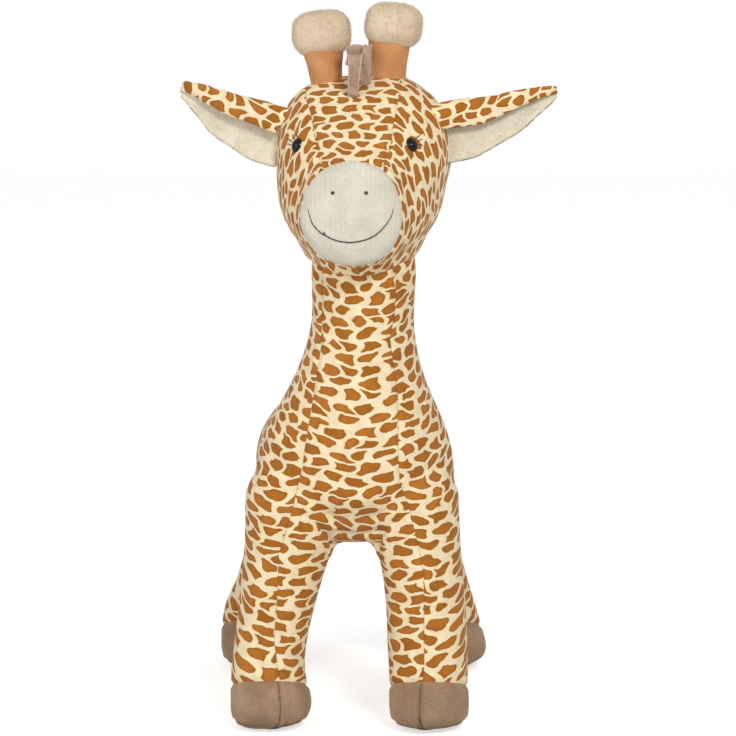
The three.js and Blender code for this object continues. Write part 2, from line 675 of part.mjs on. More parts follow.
const eyeSeats = Object.fromEntries(Object.entries(SIDE_SIGNS).map(([sideName, side]) => {
  const spot = onFace(side * EYE_SPACING / 2, HEAD_MIDDLE_HEIGHT + EYE_RISE);
  return [sideName, { spot, seat: spot.point.clone().addScaledVector(spot.normal, EYE_STANDOFF) }];
}));

function buildEye(sideName) {
  const { spot, seat } = eyeSeats[sideName];
  const washerAt = seat.clone().addScaledVector(spot.normal, -WASHER_DEPTH);
  const lashes = lashSolid(spot, SIDE_SIGNS[sideName]);
  const group = new THREE.Group();
  group.position.copy(seat);
  addPiece(group, `eye_${sideName}`, placed(eyeSolid(), seat, spot.normal), MATERIALS.eye, seat);
  addPiece(group, `eye_washer_${sideName}`, placed(washerSolid(), washerAt, spot.normal),
    MATERIALS.washer, seat);
  addPiece(group, `eyelashes_${sideName}`, lashes, MATERIALS.thread, seat);
  return group;
}

// ---- Muzzle, mouth and nostrils

function buildMuzzle() {
  const group = new THREE.Group();
  const shell = headLayers.whole.subtract(headLayers.hollow);
  const patch = shell.trimByPlane(FRONT.toArray(), MUZZLE_REACH + GAP / 2);
  addPiece(group, 'muzzle_patch', patch, MATERIALS.muzzlePlush);
  const smile = Array.from({ length: 9 }, (_, i) => i / 4 - 1).map((share) => {
    const x = share * (MUZZLE_WIDTH / 2 - MOUTH_INSET);
    const z = MUZZLE_MIDDLE_HEIGHT + MOUTH_RISE - MOUTH_DROP * (1 - share * share);
    const { point, normal } = onFace(x, z);
    return point.addScaledVector(normal, THREAD_RADIUS + STITCH_LIFT);
  });
  const mouth = sweptSolid(roundSection(THREAD_RADIUS, 4), smile, 2 * (smile.length - 1));
  addPiece(group, 'mouth_stitch', mouth, MATERIALS.thread);
  for (const [sideName, side] of Object.entries(SIDE_SIGNS)) {
    const spot = onFace(side * NOSTRIL_SPACING / 2, MUZZLE_MIDDLE_HEIGHT + NOSTRIL_RISE);
    const knot = turnedSolid([
      [0, GAP],
      [NOSTRIL_RADIUS, GAP],
      [NOSTRIL_RADIUS * 0.8, GAP + NOSTRIL_RADIUS * 0.4],
      [0, GAP + NOSTRIL_RADIUS * 0.6],
    ]);
    addPiece(group, `nostril_${sideName}`, placed(knot, spot.point, spot.normal), MATERIALS.thread);
  }
  return group;
}

// ---- Ears

// The leaf's half heights at even steps along it, below and above the middle line.
const earLowerShares = [1, 1.07, 1, 0.78, 0.46, 0.1];
const earUpperShares = [1, 0.85, 0.7, 0.54, 0.34, 0.08];
function shareAt(shares, t) {
  const place = t * (shares.length - 1);
  const i = Math.min(Math.floor(place), shares.length - 2);
  return lerp(shares[i], shares[i + 1], place - i);
}

// The points of the ear's cross-section: up the back, round the fold and down the flap.
const earSectionSteps = [
  ...[0, 1, 2, 3].map((i) => ['back', i / 3]),
  ...[1, 2, 3, 4].map((i) => ['fold', i / 4]),
  ['flap', 0.5],
  ['flap', 1],
];
const earLengthSteps = 6;

// A point of the ear's cross-section, depth inside the outer face. The margin is how far the layer's edges
// stay inside the leaf's. Returns [y, z].
function earSectionPoint(t, [part, share], depth, margin) {
  const lower = EAR_LOWER * shareAt(earLowerShares, t) - margin;
  const upper = EAR_UPPER * shareAt(earUpperShares, t);
  const open = 1 - smoothstep(t, 0.55, 0.95);
  const radius = EAR_FOLD_RADIUS * lerp(1, 0.72, t);
  const turn = Math.PI * (0.1 + 0.88 * open);
  const top = Math.max(upper - radius * Math.sin(Math.min(turn, Math.PI / 2)), margin - lower + LEAF / 3);
  if (part === 'back') {
    const z = lerp(-lower, top, share);
    const bowShare = (z + lower + margin) / (top + lower + margin);
    return [EAR_BOW * Math.sin(Math.PI * bowShare) - depth, z];
  }
  const flap = Math.max(upper * 0.8 * open, margin) - margin / 2;
  const heading = part === 'fold' ? share * turn : turn;
  const straight = part === 'flap' ? share * flap : 0;
  return [
    -radius * (1 - Math.cos(heading)) - straight * Math.sin(heading) - depth * Math.cos(heading),
    top + radius * Math.sin(heading) + straight * Math.cos(heading) - depth * Math.sin(heading),
  ];
}

// One face of an ear's layer, as rows of points that run from the head to the tip.
function earFace(depth, margin, short) {
  const rows = Array.from({ length: earLengthSteps + 1 }, (_, i) => {
    // A shortened last row lies on the straight line between the leaf's last two.
    const place = Math.min(i, earLengthSteps * (1 - short / EAR_LENGTH));
    const row = Math.min(Math.floor(place), earLengthSteps - 1);
    return earSectionSteps.map((step) => {
      const near = earSectionPoint(row / earLengthSteps, step, depth, margin);
      const far = earSectionPoint((row + 1) / earLengthSteps, step, depth, margin);
      const x = lerp(-EAR_ROOT, EAR_LENGTH, place / earLengthSteps);
      return new THREE.Vector3(x, lerp(near[0], far[0], place - row), lerp(near[1], far[1], place - row));
    });
  });
  return rows.flat();
}

// One layer of an ear between two depths, lying along X from the head.
function earLayer(fromDepth, toDepth, margin, short) {
  const points = [...earFace(fromDepth, margin, short), ...earFace(toDepth, margin, short)];
  const across = earSectionSteps.length - 1;
  const at = (face, i, j) => (face * (earLengthSteps + 1) + i) * (across + 1) + j;
  const faces = [];
  const quad = (a, b, c, d) => faces.push(a, c, b, a, d, c);
  for (let i = 0; i < earLengthSteps; i += 1) {
    for (let j = 0; j < across; j += 1) {
      quad(at(0, i, j), at(0, i + 1, j), at(0, i + 1, j + 1), at(0, i, j + 1));
      quad(at(1, i, j), at(1, i, j + 1), at(1, i + 1, j + 1), at(1, i + 1, j));
    }
    quad(at(0, i, 0), at(1, i, 0), at(1, i + 1, 0), at(0, i + 1, 0));
    quad(at(0, i, across), at(0, i + 1, across), at(1, i + 1, across), at(1, i, across));
  }
  for (let j = 0; j < across; j += 1) {
    const tip = earLengthSteps;
    quad(at(0, 0, j), at(0, 0, j + 1), at(1, 0, j + 1), at(1, 0, j));
    quad(at(0, tip, j), at(1, tip, j), at(1, tip, j + 1), at(0, tip, j + 1));
  }
  const geometry = new THREE.BufferGeometry().setFromPoints(points);
  geometry.setIndex(faces);
  return toSolid(geometry);
}

// The head as the ear meets it over its whole swing about the seam.
function headUnderEar(point, seam, side) {
  const toSeam = new THREE.Matrix4().makeTranslation(point.clone().negate());
  const fromSeam = new THREE.Matrix4().makeTranslation(point);
  const swings = [-EAR_SWING.forward, -EAR_SWING.forward / 2, 0, EAR_SWING.back / 2, EAR_SWING.back];
  return swings.map((degrees) => {
    const turn = new THREE.Matrix4().makeRotationAxis(seam, -side * radians(degrees));
    return grownHead.transform(fromSeam.clone().multiply(turn).multiply(toSeam).elements);
  });
}

function buildEar(sideName) {
  const side = SIDE_SIGNS[sideName];
  const from = new THREE.Vector3(side * HEAD_WIDTH, EAR_Y, HEAD_MIDDLE_HEIGHT + EAR_RISE);
  const { point, normal } = hitSurface(headGeometry, from, X_AXIS.clone().multiplyScalar(-side));
  // The seam runs up the side of the head.
  const seam = UP.clone().addScaledVector(normal, -normal.z).setY(0).normalize();
  const place = new THREE.Matrix4().makeRotationZ(side * radians(EAR_SWEEP[sideName]));
  place.multiply(new THREE.Matrix4().makeRotationY(-side * radians(EAR_TILT[sideName])));
  place.multiply(new THREE.Matrix4().makeScale(side, 1, 1));
  place.setPosition(point);
  const pieces = {
    outer: [earLayer(0, LEAF, 0, 0), MATERIALS.plush],
    lining: [earLayer(LEAF + PLAY, 2 * LEAF + PLAY, LEAF, LINING_SHORT), MATERIALS.creamPlush],
  };
  const heads = headUnderEar(point, seam, side);
  const group = new THREE.Group();
  group.name = `ear_${sideName}`;
  group.position.copy(point);
  group.userData.seam = seam;
  for (const [layerName, [layer, material]] of Object.entries(pieces)) {
    const leaf = heads.reduce((rest, cutter) => rest.subtract(cutter), layer.transform(place.elements));
    addPiece(group, `ear_${layerName}_${sideName}`, largest(leaf), material, point);
  }
  return group;
}

// ---- Head cover, filling and forelock

function buildHeadCover() {
  // A ball with flat faces that still clears the round neck top.
  const clear = (NECK_TOP_RADIUS + PLAY) / Math.cos(Math.PI / SIDES) ** 2;
  const rooms = [toSolid(new THREE.SphereGeometry(clear, SIDES, SIDES / 2))];
  for (const sideName of Object.keys(SIDE_SIGNS)) {
    const { spot, seat } = eyeSeats[sideName];
    rooms.push(hornRoom(sideName), placed(eyeRoom(), seat, spot.normal));
  }
  const behindPatch = FRONT.clone().negate().toArray();
  const pieces = {
    head_cover: [headLayers.whole.subtract(headLayers.hollow)
      .trimByPlane(behindPatch, -MUZZLE_REACH + GAP / 2), MATERIALS.plush],
    head_filling: [headLayers.filling, MATERIALS.filling],
  };
  const group = new THREE.Group();
  for (const [name, [solid, material]] of Object.entries(pieces)) {
    const cut = rooms.reduce((rest, room) => rest.subtract(room), solid);
    addPiece(group, name, largest(cut), material);
  }
  return group;
}

// Two loops of ribbon before the horns, sewn to one short tape.
function forelockSolid() {
  const onCrown = (x, y) => hitSurface(headGeometry, new THREE.Vector3(x, y, 2 * headTop), DOWN);
  const frontY = HORN_Y - FORELOCK_REACH;
  const spots = [0, 0.5, 1].map((share) =>
    onCrown(lerp(-FORELOCK_OFFSET, FORELOCK_OFFSET, share), frontY + share * FORELOCK_PITCH));
  const path = spots.map(({ point, normal }) =>
    point.clone().addScaledVector(normal, TAPE_THICKNESS + GAP));
  const tape = sweptSolid(roundSection(TAPE_THICKNESS, 6), path, 4);
  const foot = (spot) => spot.point.clone().addScaledVector(UP, FORELOCK_LIFT);
  return tape
    .add(placed(loopSolid(FORELOCK_HEIGHT), foot(spots[0]), UP, 0.25))
    .add(placed(loopSolid(FORELOCK_HEIGHT * 0.85), foot(spots[2]), UP, -0.2))
    .subtract(grownHead);
}

// ---- Tail

function buildTail() {
  const trunkGeometry = stuffedGeometry(trunkStations, trunkEnds);
  const from = new THREE.Vector3(0, 2 * (TRUNK_BACK + RUMP_BULGE), TRUNK_AXIS_HEIGHT + TAIL_RISE);
  const { point, normal } = hitSurface(trunkGeometry, from, FRONT);
  const root = point.clone().addScaledVector(normal, TAIL_RADIUS + PLAY);
  // Each row: the shares of the way down and out, and the share of the radius.
  const stations = [[0, 0, 1], [0.5, 0.83, 0.85], [1, 1, 0.7]].map(([downShare, outShare, radiusShare]) => ({
    at: root.clone().add(new THREE.Vector3(0, TAIL_LEAN * outShare, -TAIL_LENGTH * downShare)),
    wide: TAIL_RADIUS * radiusShare,
    deep: TAIL_RADIUS * radiusShare,
  }));
  const tube = stuffedSolid(stations, { startDome: TAIL_RADIUS, rings: 7, sides: SMALL_SIDES });
  const group = new THREE.Group();
  group.name = 'tail';
  group.position.copy(root);
  addPiece(group, 'tail_cover', tube, MATERIALS.plush, root);
  addPiece(group, 'tail_tuft', tuftSolid(stations[2].at), MATERIALS.ribbon, root);
  return group;
}

// A knot with ribbon strips, hanging below the tail's end.
function tuftSolid(tailEnd) {
  const knotRadius = TAIL_RADIUS * 0.8;
  const knotAt = tailEnd.clone().addScaledVector(DOWN, knotRadius + GAP);
  let tuft = toSolid(new THREE.SphereGeometry(knotRadius, 8, 6).rotateX(Math.PI / 2));
  tuft = tuft.translate(knotAt.toArray());
  for (let i = 0; i < TUFT_STRIPS; i += 1) {
    const turn = (i / TUFT_STRIPS) * 2 * Math.PI;
    const spread = new THREE.Vector3(Math.cos(turn) * 0.22, Math.sin(turn) * 0.22, -1);
    const strip = new THREE.BoxGeometry(RIBBON_WIDTH, RIBBON_THICKNESS, TUFT_LENGTH);
    tuft = tuft.add(placed(toSolid(strip.translate(0, 0, TUFT_LENGTH / 2)), knotAt, spread, turn));
  }
  return tuft;
}

// ---- The whole giraffe

const head = new THREE.Group();
head.name = 'head';
head.position.copy(neckTop);
head.rotation.z = radians(HEAD_TURN);
head.add(buildHeadCover(), buildMuzzle());
for (const sideName of Object.keys(SIDE_SIGNS)) {
  head.add(buildEye(sideName), buildHorn(sideName), buildEar(sideName));
}
addPiece(head, 'crown_mane', maneSolid(crownManeSpots(), MANE_HEIGHT, grownHead), MATERIALS.ribbon);
addPiece(head, 'forelock', forelockSolid(), MATERIALS.ribbon);

const toy = new THREE.Group();
toy.add(buildTorso(), head, buildTail());
for (const [name, leg] of Object.entries(LEGS)) {
  toy.add(buildLeg(name, leg));
}

// The part's origin is on the floor, in the middle of what it takes up.
toy.updateMatrixWorld(true);
const middle = new THREE.Box3().setFromObject(toy, true).getCenter(new THREE.Vector3());
toy.position.set(-middle.x, -middle.y, 0);

export default toy;
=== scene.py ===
import bmesh
import bpy
import math
import numpy as np
from mathutils import Matrix, Vector, noise
from mathutils.bvhtree import BVHTree
from mathutils.kdtree import KDTree


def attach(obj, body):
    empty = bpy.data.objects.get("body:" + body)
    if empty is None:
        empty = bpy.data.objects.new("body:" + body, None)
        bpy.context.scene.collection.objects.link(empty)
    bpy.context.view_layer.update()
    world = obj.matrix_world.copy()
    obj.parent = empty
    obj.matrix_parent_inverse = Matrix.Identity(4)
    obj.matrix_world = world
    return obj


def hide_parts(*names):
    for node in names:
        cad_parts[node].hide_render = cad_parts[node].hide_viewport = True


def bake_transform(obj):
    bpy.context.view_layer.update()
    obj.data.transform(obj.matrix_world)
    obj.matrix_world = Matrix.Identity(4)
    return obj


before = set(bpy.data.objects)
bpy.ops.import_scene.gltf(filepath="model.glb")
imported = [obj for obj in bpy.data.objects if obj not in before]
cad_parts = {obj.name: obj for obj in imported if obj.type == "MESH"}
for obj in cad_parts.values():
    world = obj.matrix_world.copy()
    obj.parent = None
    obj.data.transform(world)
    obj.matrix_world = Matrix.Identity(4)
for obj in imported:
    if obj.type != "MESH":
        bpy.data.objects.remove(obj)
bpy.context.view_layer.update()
scene = bpy.context.scene

MM = 0.001
# Measurements are taken from the middle of the stance; the model's own origin lies a little off it.
STANCE = Vector((-10.637, -14.778, 0.0))


def here(x, y, z):
    """A measured place in millimetres, in the model's frame in metres."""
    return (Vector((x, y, z)) + STANCE) * MM


# ---- Camera, at the photograph's angle

PHOTO = 736  # the photograph's width and height; places in it are given in pixels, across and down
FOCAL = 2840  # the camera's focal length in those pixels
AHEAD = 353.5, 350.21  # the place that lies straight ahead of the camera

camera = bpy.data.objects.new("camera", bpy.data.cameras.new("camera"))
scene.collection.objects.link(camera)
camera.location = here(0, -2600, 680)
camera.rotation_euler = (here(0, 0, 330) - here(0, -2600, 680)).to_track_quat("-Z", "Y").to_euler()
camera.data.sensor_width = 36
camera.data.lens = 36 * FOCAL / PHOTO
camera.data.shift_x = 14.5 / PHOTO
camera.data.shift_y = -17.8 / PHOTO
camera.data.clip_end = 20
scene.camera = camera


def sight(across, down):
    """The camera's line through a place in the photograph."""
    line = Vector(((across - AHEAD[0]) / FOCAL, (AHEAD[1] - down) / FOCAL, -1)).normalized()
    line.rotate(camera.rotation_euler)
    return line


def seen_on(tree, across, down):
    """Where the line through a place in the photograph meets a surface, and the surface's direction."""
    return tree.ray_cast(camera.location, sight(across, down))[:2]


def seen_at(across, down, y):
    """Where the line through a place in the photograph crosses the plane at y, which is in measured millimetres."""
    line = sight(across, down)
    depth = (here(0, y, 0).y - camera.location.y) / line.y
    return camera.location + line * depth


# ---- Small helpers


def link(name, mesh):
    piece = bpy.data.objects.new(name, mesh)
    scene.collection.objects.link(piece)
    return piece


def from_bmesh(name, bm):
    mesh = bpy.data.meshes.new(name)
    bm.to_mesh(mesh)
    bm.free()
    return link(name, mesh)


def points_of(mesh):
    flat = np.empty(len(mesh.vertices) * 3)
    mesh.vertices.foreach_get("co", flat)
    return flat.reshape(-1, 3)


def set_points(mesh, points):
    mesh.vertices.foreach_set("co", np.ascontiguousarray(points).ravel())
    mesh.update()


def normals_of(mesh):
    flat = np.empty(len(mesh.vertices) * 3)
    mesh.vertex_normals.foreach_get("vector", flat)
    return flat.reshape(-1, 3)


def edges_of(mesh):
    flat = np.empty(len(mesh.edges) * 2, dtype=np.int64)
    mesh.edges.foreach_get("vertices", flat)
    return flat.reshape(-1, 2)


def evaluated(piece):
    return piece.evaluated_get(bpy.context.evaluated_depsgraph_get())


def applied(piece):
    """The piece's mesh becomes what its modifiers make of it."""
    made = bpy.data.meshes.new_from_object(evaluated(piece))
    old = piece.data
    piece.modifiers.clear()
    piece.data = made
    bpy.data.meshes.remove(old)
    made.name = piece.name
    return piece


def remeshed(piece, voxel):
    mod = piece.modifiers.new("Remesh", "REMESH")
    mod.mode = "VOXEL"
    mod.voxel_size = voxel
    return applied(piece)


def subdivided(piece, levels=1):
    mod = piece.modifiers.new("Finer", "SUBSURF")
    mod.levels = mod.render_levels = levels
    return applied(piece)


def thickened(piece, thickness, offset=-1):
    mod = piece.modifiers.new("Wall", "SOLIDIFY")
    mod.thickness = thickness
    mod.offset = offset
    return applied(piece)


def tree_of(piece):
    return BVHTree.FromObject(piece, bpy.context.evaluated_depsgraph_get())


def turned_outwards(piece):
    """All faces of a closed piece look outwards."""
    bm = bmesh.new()
    bm.from_mesh(piece.data)
    bmesh.ops.recalc_face_normals(bm, faces=bm.faces)
    bm.to_mesh(piece.data)
    bm.free()


def edges_at(verts):
    """The edges at some points, in the same order on each run."""
    return list(dict.fromkeys(edge for vert in verts for edge in vert.link_edges))


def bridged(bm, loops):
    """Joins rings of edges one after the other, and closes both ends."""
    for first, second in zip(loops, loops[1:]):
        bmesh.ops.bridge_loops(bm, edges=first + second)
    for loop in (loops[0], loops[-1]):
        bmesh.ops.edgeloop_fill(bm, edges=loop)


def finished(piece, material, body, slot, *nodes, fill=None):
    """Gives a piece its material and its body, and hides the nodes that it stands for. slot is not used."""
    piece.data.materials.clear()
    piece.data.materials.append(material)
    piece.data.shade_smooth()
    if body:
        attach(piece, body)
    if nodes:
        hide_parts(*nodes)
    return piece


def ring_mean(values, edges, count):
    """The mean of each point's neighbours."""
    total = np.zeros((count,) + values.shape[1:])
    for k in range(values.shape[1]):
        total[:, k] = np.bincount(edges[:, 0], values[edges[:, 1], k], count) + np.bincount(
            edges[:, 1], values[edges[:, 0], k], count)
    degree = np.bincount(edges.ravel(), minlength=count)
    return total / np.maximum(degree, 1)[:, None]


def relaxed(mesh, steps):
    """Smooths the skin without shrinking it: each step in is followed by one out."""
    points, edges = points_of(mesh), edges_of(mesh)
    for _ in range(steps):
        for share in (0.5, -0.52):
            points += share * (ring_mean(points, edges, len(points)) - points)
    set_points(mesh, points)


def stuffing_pressure(piece, pressure, cap, steps=20):
    """Stuffs the skin in a cloth simulation, and lets no point move further than cap."""
    before = points_of(piece.data)
    cloth = piece.modifiers.new("Stuffing", "CLOTH")
    cloth.settings.quality = 4
    cloth.settings.mass = 0.2
    cloth.settings.tension_stiffness = 18
    cloth.settings.compression_stiffness = 8
    cloth.settings.shear_stiffness = 6
    cloth.settings.bending_stiffness = 0.4
    cloth.settings.use_pressure = True
    cloth.settings.uniform_pressure_force = pressure
    cloth.settings.effector_weights.gravity = 0
    cloth.point_cache.frame_start = 1
    cloth.point_cache.frame_end = steps
    for number in range(1, steps + 1):
        scene.frame_set(number)
    move = points_of(evaluated(piece).to_mesh()) - before
    evaluated(piece).to_mesh_clear()
    piece.modifiers.clear()
    scene.frame_set(1)
    length = np.linalg.norm(move, axis=1, keepdims=True)
    set_points(piece.data, before + move * np.minimum(1, cap / np.maximum(length, 1e-9)))


def distance_to_path(points, path):
    """Each point's distance to a path, and how far along the path that is, in metres."""
    path = np.asarray(path, dtype=float)
    best, along = np.full(len(points), 9.0), np.zeros(len(points))
    run = 0.0
    for a, b in zip(path, path[1:]):
        step = b - a
        size = np.linalg.norm(step)
        share = np.clip((points - a) @ step / size**2, 0, 1)
        gap = np.linalg.norm(points - (a + share[:, None] * step), axis=1)
        nearer = gap < best
        best[nearer], along[nearer] = gap[nearer], run + share[nearer] * size
        run += size
    return best, along


def creased(mesh, path, depth, width, pucker=0.0, pitch=0.007, puff=0.3):
    """Draws the skin in along a path, as a seam or a fold does, with the cloth full beside it and gathered."""
    points, normals = points_of(mesh), normals_of(mesh)
    gap, along = distance_to_path(points, path)
    move = -depth * np.exp(-((gap / width) ** 2))
    move += depth * puff * np.exp(-(((gap - 2.6 * width) / (1.5 * width)) ** 2))
    if pucker:
        wander = np.sin(along / pitch * 2.1 + 3 * np.sin(along / pitch * 0.53))
        move += pucker * wander * np.exp(-((gap / (3.5 * width)) ** 2))
    set_points(mesh, points + normals * move[:, None])


# ---- Stuffed forms: rings along a line of stations, bridged and closed


def through(rows, t):
    """A smooth curve through the rows at t, from 0 to 1."""
    rows = np.asarray(rows, dtype=float)
    last = len(rows) - 1
    place = min(max(t, 0.0), 1.0) * last
    i = min(int(place), last - 1)
    f = place - i
    p1, p2 = rows[i], rows[i + 1]
    p0 = rows[i - 1] if i > 0 else 2 * p1 - p2
    p3 = rows[i + 2] if i + 2 <= last else 2 * p2 - p1
    return 0.5 * (
        2 * p1 + (p2 - p0) * f + (2 * p0 - 5 * p1 + 4 * p2 - p3) * f * f + (3 * p1 - p0 - 3 * p2 + p3) * f**3)


def stuffed_form(bm, rows, start_dome, end_dome, axis=None, sides=40, rings=18, dome_rings=7, end_square=2.0):
    """Adds a closed stuffed form. Each row is x, y, z, half width, half depth, turn, and the squareness above
    and below; lengths in millimetres. Its ends are domes, of the heights that are given."""

    def ring(t, shift, size):
        x, y, z, wide, deep, turn, top, low = through(rows, t)
        ahead = axis or (Vector(through(rows, t + 0.02)[:3]) - Vector(through(rows, t - 0.02)[:3])).normalized()
        side = (Vector((1, 0, 0)) - ahead * ahead.x).normalized()
        side.rotate(Matrix.Rotation(turn, 3, ahead))
        up = ahead.cross(side)
        middle = Vector((x, y, z)) + ahead * shift
        circle = bmesh.ops.create_circle(bm, segments=sides, radius=1)["verts"]
        for vert in circle:
            across, rise = vert.co.x, vert.co.y
            power = 2 / (top if rise > 0 else low)
            place = middle + side * (math.copysign(abs(across) ** power, across) * wide * size)
            place += up * (math.copysign(abs(rise) ** power, rise) * deep * size)
            vert.co = (place + STANCE) * MM
        return edges_at(circle)

    def dome(square):
        shares = [math.sin((i + 1) / dome_rings * math.pi / 2) for i in range(dome_rings - 1)] + [0.995]
        return [(share, (1 - share**square) ** (1 / square)) for share in shares]

    loops = [ring(0, -start_dome * share, size) for share, size in reversed(dome(2.0))]
    loops += [ring(i / rings, 0, 1) for i in range(rings + 1)]
    loops += [ring(1, end_dome * share, size) for share, size in dome(end_square)]
    bridged(bm, loops)


def blended(a, b, share):
    return a + (b - a) * share


# ---- The cloth's own directions: how the printed plush lies on each panel


def laid_out(mesh, up, keep, steps=500):
    """Lays the kept part of a skin flat: for each point, metres across and along the cloth, found by fitting
    both to the lengths of the edges. up gives the way the print runs at each point."""
    points, normals = points_of(mesh), normals_of(mesh)
    up = up - (up * normals).sum(1, keepdims=True) * normals
    up /= np.maximum(np.linalg.norm(up, axis=1, keepdims=True), 1e-9)
    across = np.cross(up, normals)
    edges = edges_of(mesh)
    edges = edges[keep[edges].all(1)]
    a, b = edges[:, 0], edges[:, 1]
    step = points[b] - points[a]
    count = len(points)
    degree = np.maximum(np.bincount(edges.ravel(), minlength=count), 1).astype(float)
    flat = np.zeros((count, 3))
    for k, field in enumerate((across, up)):
        rise = 0.5 * ((field[a] + field[b]) * step).sum(1)
        right = np.bincount(b, rise, count) - np.bincount(a, rise, count)
        value = np.zeros(count)
        rest = right.copy()
        search = rest / degree
        old = rest @ search
        for _ in range(steps):
            gap = search[b] - search[a]
            pull = np.bincount(b, gap, count) - np.bincount(a, gap, count)
            share = old / max(search @ pull, 1e-30)
            value += share * search
            rest -= share * pull
            step_to = rest / degree
            new = rest @ step_to
            if new < 1e-16:
                break
            search = step_to + search * (new / old)
            old = new
        flat[:, k] = value
    return flat


def combed(mesh, up, sure, keep, steps=260):
    """Carries the way of the print from the sure points over the rest of a panel, as the cloth itself does."""
    normals, edges = normals_of(mesh), edges_of(mesh)
    edges = edges[keep[edges].all(1)]
    field = np.where(sure[:, None], up, 0.0)

    def on_skin(way):
        way = way - (way * normals).sum(1, keepdims=True) * normals
        return way / np.maximum(np.linalg.norm(way, axis=1, keepdims=True), 1e-9)

    field = np.where(sure[:, None], on_skin(field), 0.0)
    fixed = field.copy()
    for _ in range(steps):
        field = on_skin(ring_mean(field, edges, len(field)) + 0.2 * field)
        field[sure] = fixed[sure]
    return field


def keep_layout(mesh, name, flat):
    layer = mesh.attributes.new(name, "FLOAT_VECTOR", "POINT")
    layer.data.foreach_set("vector", np.ascontiguousarray(flat).ravel())


# ---- Materials

SOFT = {"interpolation_type": "SMOOTHSTEP"}
BLEND = {"data_type": "RGBA"}
SHADE = {"data_type": "RGBA", "blend_type": "MULTIPLY"}


def linear(code):
    """An sRGB hex colour, as linear values."""
    parts = [int(code[i : i + 2], 16) / 255 for i in (1, 3, 5)]
    return (*[p / 12.92 if p <= 0.04045 else ((p + 0.055) / 1.055) ** 2.4 for p in parts], 1.0)


def feed(socket, value):
    """Links an input to another node's output, or sets it to a value; a text is a hex colour."""
    if isinstance(value, bpy.types.NodeSocket):
        socket.id_data.links.new(value, socket)
    else:
        socket.default_value = linear(value) if isinstance(value, str) else value


def add_node(tree, kind, *values, out=0, **more):
    """Adds a node and gives its output, by number or name, or all of them where out is None. Values go to the
    sockets in their order, or by name where the name has a capital; the rest are the node's settings."""
    node = tree.nodes.new("ShaderNode" + kind)
    named = {key.replace("_", " "): more.pop(key) for key in list(more) if key[0].isupper()}
    for key, setting in more.items():
        setattr(node, key, setting)
    for socket, value in zip([socket for socket in node.inputs if socket.enabled], values):
        feed(socket, value)
    for key, value in named.items():
        feed(node.inputs[key], value)
    if isinstance(out, str):
        return node.outputs[out]
    outputs = [socket for socket in node.outputs if socket.enabled]
    return outputs if out is None else outputs[out]


def new_material(name, **values):
    """A material, its tree and its shader, whose own sockets take the values."""
    material = bpy.data.materials.new(name)
    material.use_nodes = True
    shader = material.node_tree.nodes["Principled BSDF"]
    for key, value in values.items():
        feed(shader.inputs[key.replace("_", " ")], value)
    return material, material.node_tree, shader


def noise_scale(size):
    """The scale at which a noise's lumps are about size millimetres across."""
    return 0.6 / (size * MM)


def relief(tree, shader, layers):
    """Stacks the bumps of a surface: each layer is a height from 0 to 1, and its depth in millimetres."""
    below = {}
    for height, depth in layers:
        normal = add_node(tree, "Bump", Strength=1.0, Distance=depth * MM, Height=height, **below)
        below = {"Normal": normal}
    feed(shader.inputs["Normal"], normal)


def seam_across(tree, height, rows, top=450, reach=120):
    """The seam's x in metres at a height in metres; rows are height and x in measured millimetres."""
    share = add_node(tree, "Math", height, top * MM, operation="DIVIDE")
    across = add_node(tree, "FloatCurve", Value=share)
    curve = across.node.mapping.curves[0]
    for number, (z, x) in enumerate(sorted(rows)):
        spot = (z / top, (x + reach) / (2 * reach))
        if number < 2:
            curve.points[number].location = spot
        else:
            curve.points.new(*spot)
    for point in curve.points:
        point.handle_type = "VECTOR"
    across.node.mapping.update()
    across = add_node(tree, "Math", across, 2 * reach * MM, -reach * MM, operation="MULTIPLY_ADD")
    return add_node(tree, "Math", across, STANCE.x * MM, operation="ADD")


# ---- The printed plush

SPOT_WIDE, SPOT_TALL = 22, 10.4  # from middle to middle of the body's printed spots, in millimetres


